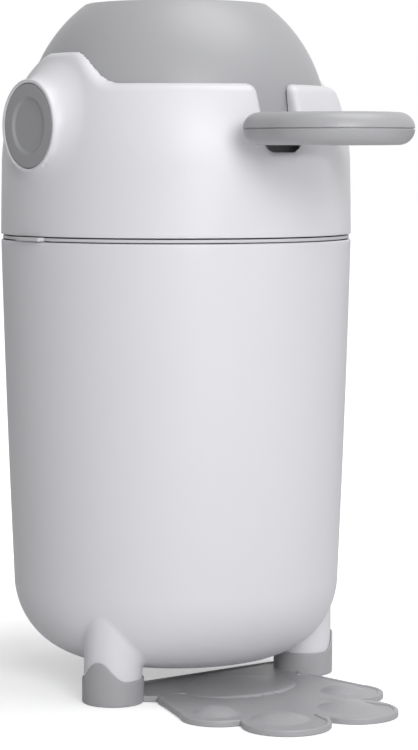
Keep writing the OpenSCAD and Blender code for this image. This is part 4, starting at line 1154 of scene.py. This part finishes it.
def makeCamera():
    s = cameraSizes
    data = bpy.data.cameras.new("camera")
    data.lens = s["lens"]
    data.sensor_fit = "VERTICAL"
    data.sensor_height = s["sensor"]
    data.sensor_width = s["sensor"]
    data.shift_x = s["shiftX"]
    data.clip_end = s["clipEnd"]
    camera = addObject("camera", data)
    camera.location = s["place"]
    camera.rotation_euler = (math.radians(90 - s["down"]), 0, -math.radians(s["azimuth"]))
    bpy.context.scene.camera = camera


studioSizes = {
    "worldColour": (0.97, 0.98, 1.0, 1), "worldLight": 0.23,
    "floorColour": (0.86, 0.86, 0.86, 1), "floorHalf": 14,
    # the floor glows for the camera alone, more with the distance from the bin, and keeps its shadow
    "glowFrom": (0.24, 0.65), "glow": (0.45, 1.0),
    "lamps": {
        "key": {"place": (-1.05, -2.4, 1.5), "aim": (0.0, 0.0, 0.27), "size": 1.5, "power": 21.0},
        "front": {"place": (-0.85, -2.4, 1.0), "aim": (0.0, 0.0, 0.1), "size": 1.2, "power": 22.0},
        "top": {"place": (0.5, -0.4, 2.5), "aim": (0.0, 0.0, 0.4), "size": 1.6, "power": 24.0},
    },
}


# white for camera, glossy and transmission rays, dim for the light on the bin
def makeWorld():
    s = studioSizes
    scene = bpy.context.scene
    scene.view_settings.view_transform = "Standard"
    world = bpy.data.worlds.new("studio")
    scene.world = world
    tree = emptyTree(world)
    path = addNode(tree, "ShaderNodeLightPath").outputs
    seen = mathNode(tree, "MAXIMUM", path["Is Camera Ray"], path["Is Glossy Ray"])
    seen = mathNode(tree, "MAXIMUM", seen, path["Is Transmission Ray"])
    dim = addNode(tree, "ShaderNodeBackground", color=s["worldColour"], strength=s["worldLight"])
    white = addNode(tree, "ShaderNodeBackground", color=(1, 1, 1, 1), strength=1.0)
    mixed = addNode(tree, "ShaderNodeMixShader", i0=seen, i1=dim.outputs[0], i2=white.outputs[0])
    addNode(tree, "ShaderNodeOutputWorld", surface=mixed.outputs[0])


def makeLamps():
    for name, s in studioSizes["lamps"].items():
        data = bpy.data.lights.new(name, "AREA")
        data.shape = "DISK"
        data.size = s["size"]
        data.energy = s["power"]
        lamp = addObject(name, data)
        lamp.location = s["place"]
        lamp.rotation_euler = (Vector(s["aim"]) - Vector(s["place"])).to_track_quat("-Z", "Y").to_euler()


def makeFloor():
    s = studioSizes
    material = bpy.data.materials.new("floor")
    tree = emptyTree(material)
    camera = addNode(tree, "ShaderNodeLightPath").outputs["Is Camera Ray"]
    place = addNode(tree, "ShaderNodeTexCoord").outputs["Object"]
    away = addNode(tree, "ShaderNodeVectorMath", {"operation": "LENGTH"}, i0=place).outputs["Value"]
    matte = addNode(tree, "ShaderNodeBsdfDiffuse", color=s["floorColour"])
    strength = ranged(tree, away, s["glowFrom"], s["glow"])
    glow = addNode(tree, "ShaderNodeEmission", color=(1, 1, 1, 1), strength=strength)
    both = addNode(tree, "ShaderNodeAddShader", i0=matte.outputs[0], i1=glow.outputs[0])
    mixed = addNode(tree, "ShaderNodeMixShader", i0=camera, i1=matte.outputs[0], i2=both.outputs[0])
    addNode(tree, "ShaderNodeOutputMaterial", surface=mixed.outputs[0])
    half = s["floorHalf"]
    mesh = bpy.data.meshes.new("floor")
    corners = [(-half, -half, 0), (half, -half, 0), (half, half, 0), (-half, half, 0)]
    mesh.from_pydata(corners, [], [(0, 1, 2, 3)])
    mesh.materials.append(material)
    addObject("floor", mesh)


makeCamera()
makeWorld()
makeLamps()
makeFloor()
print("camera and studio ready")
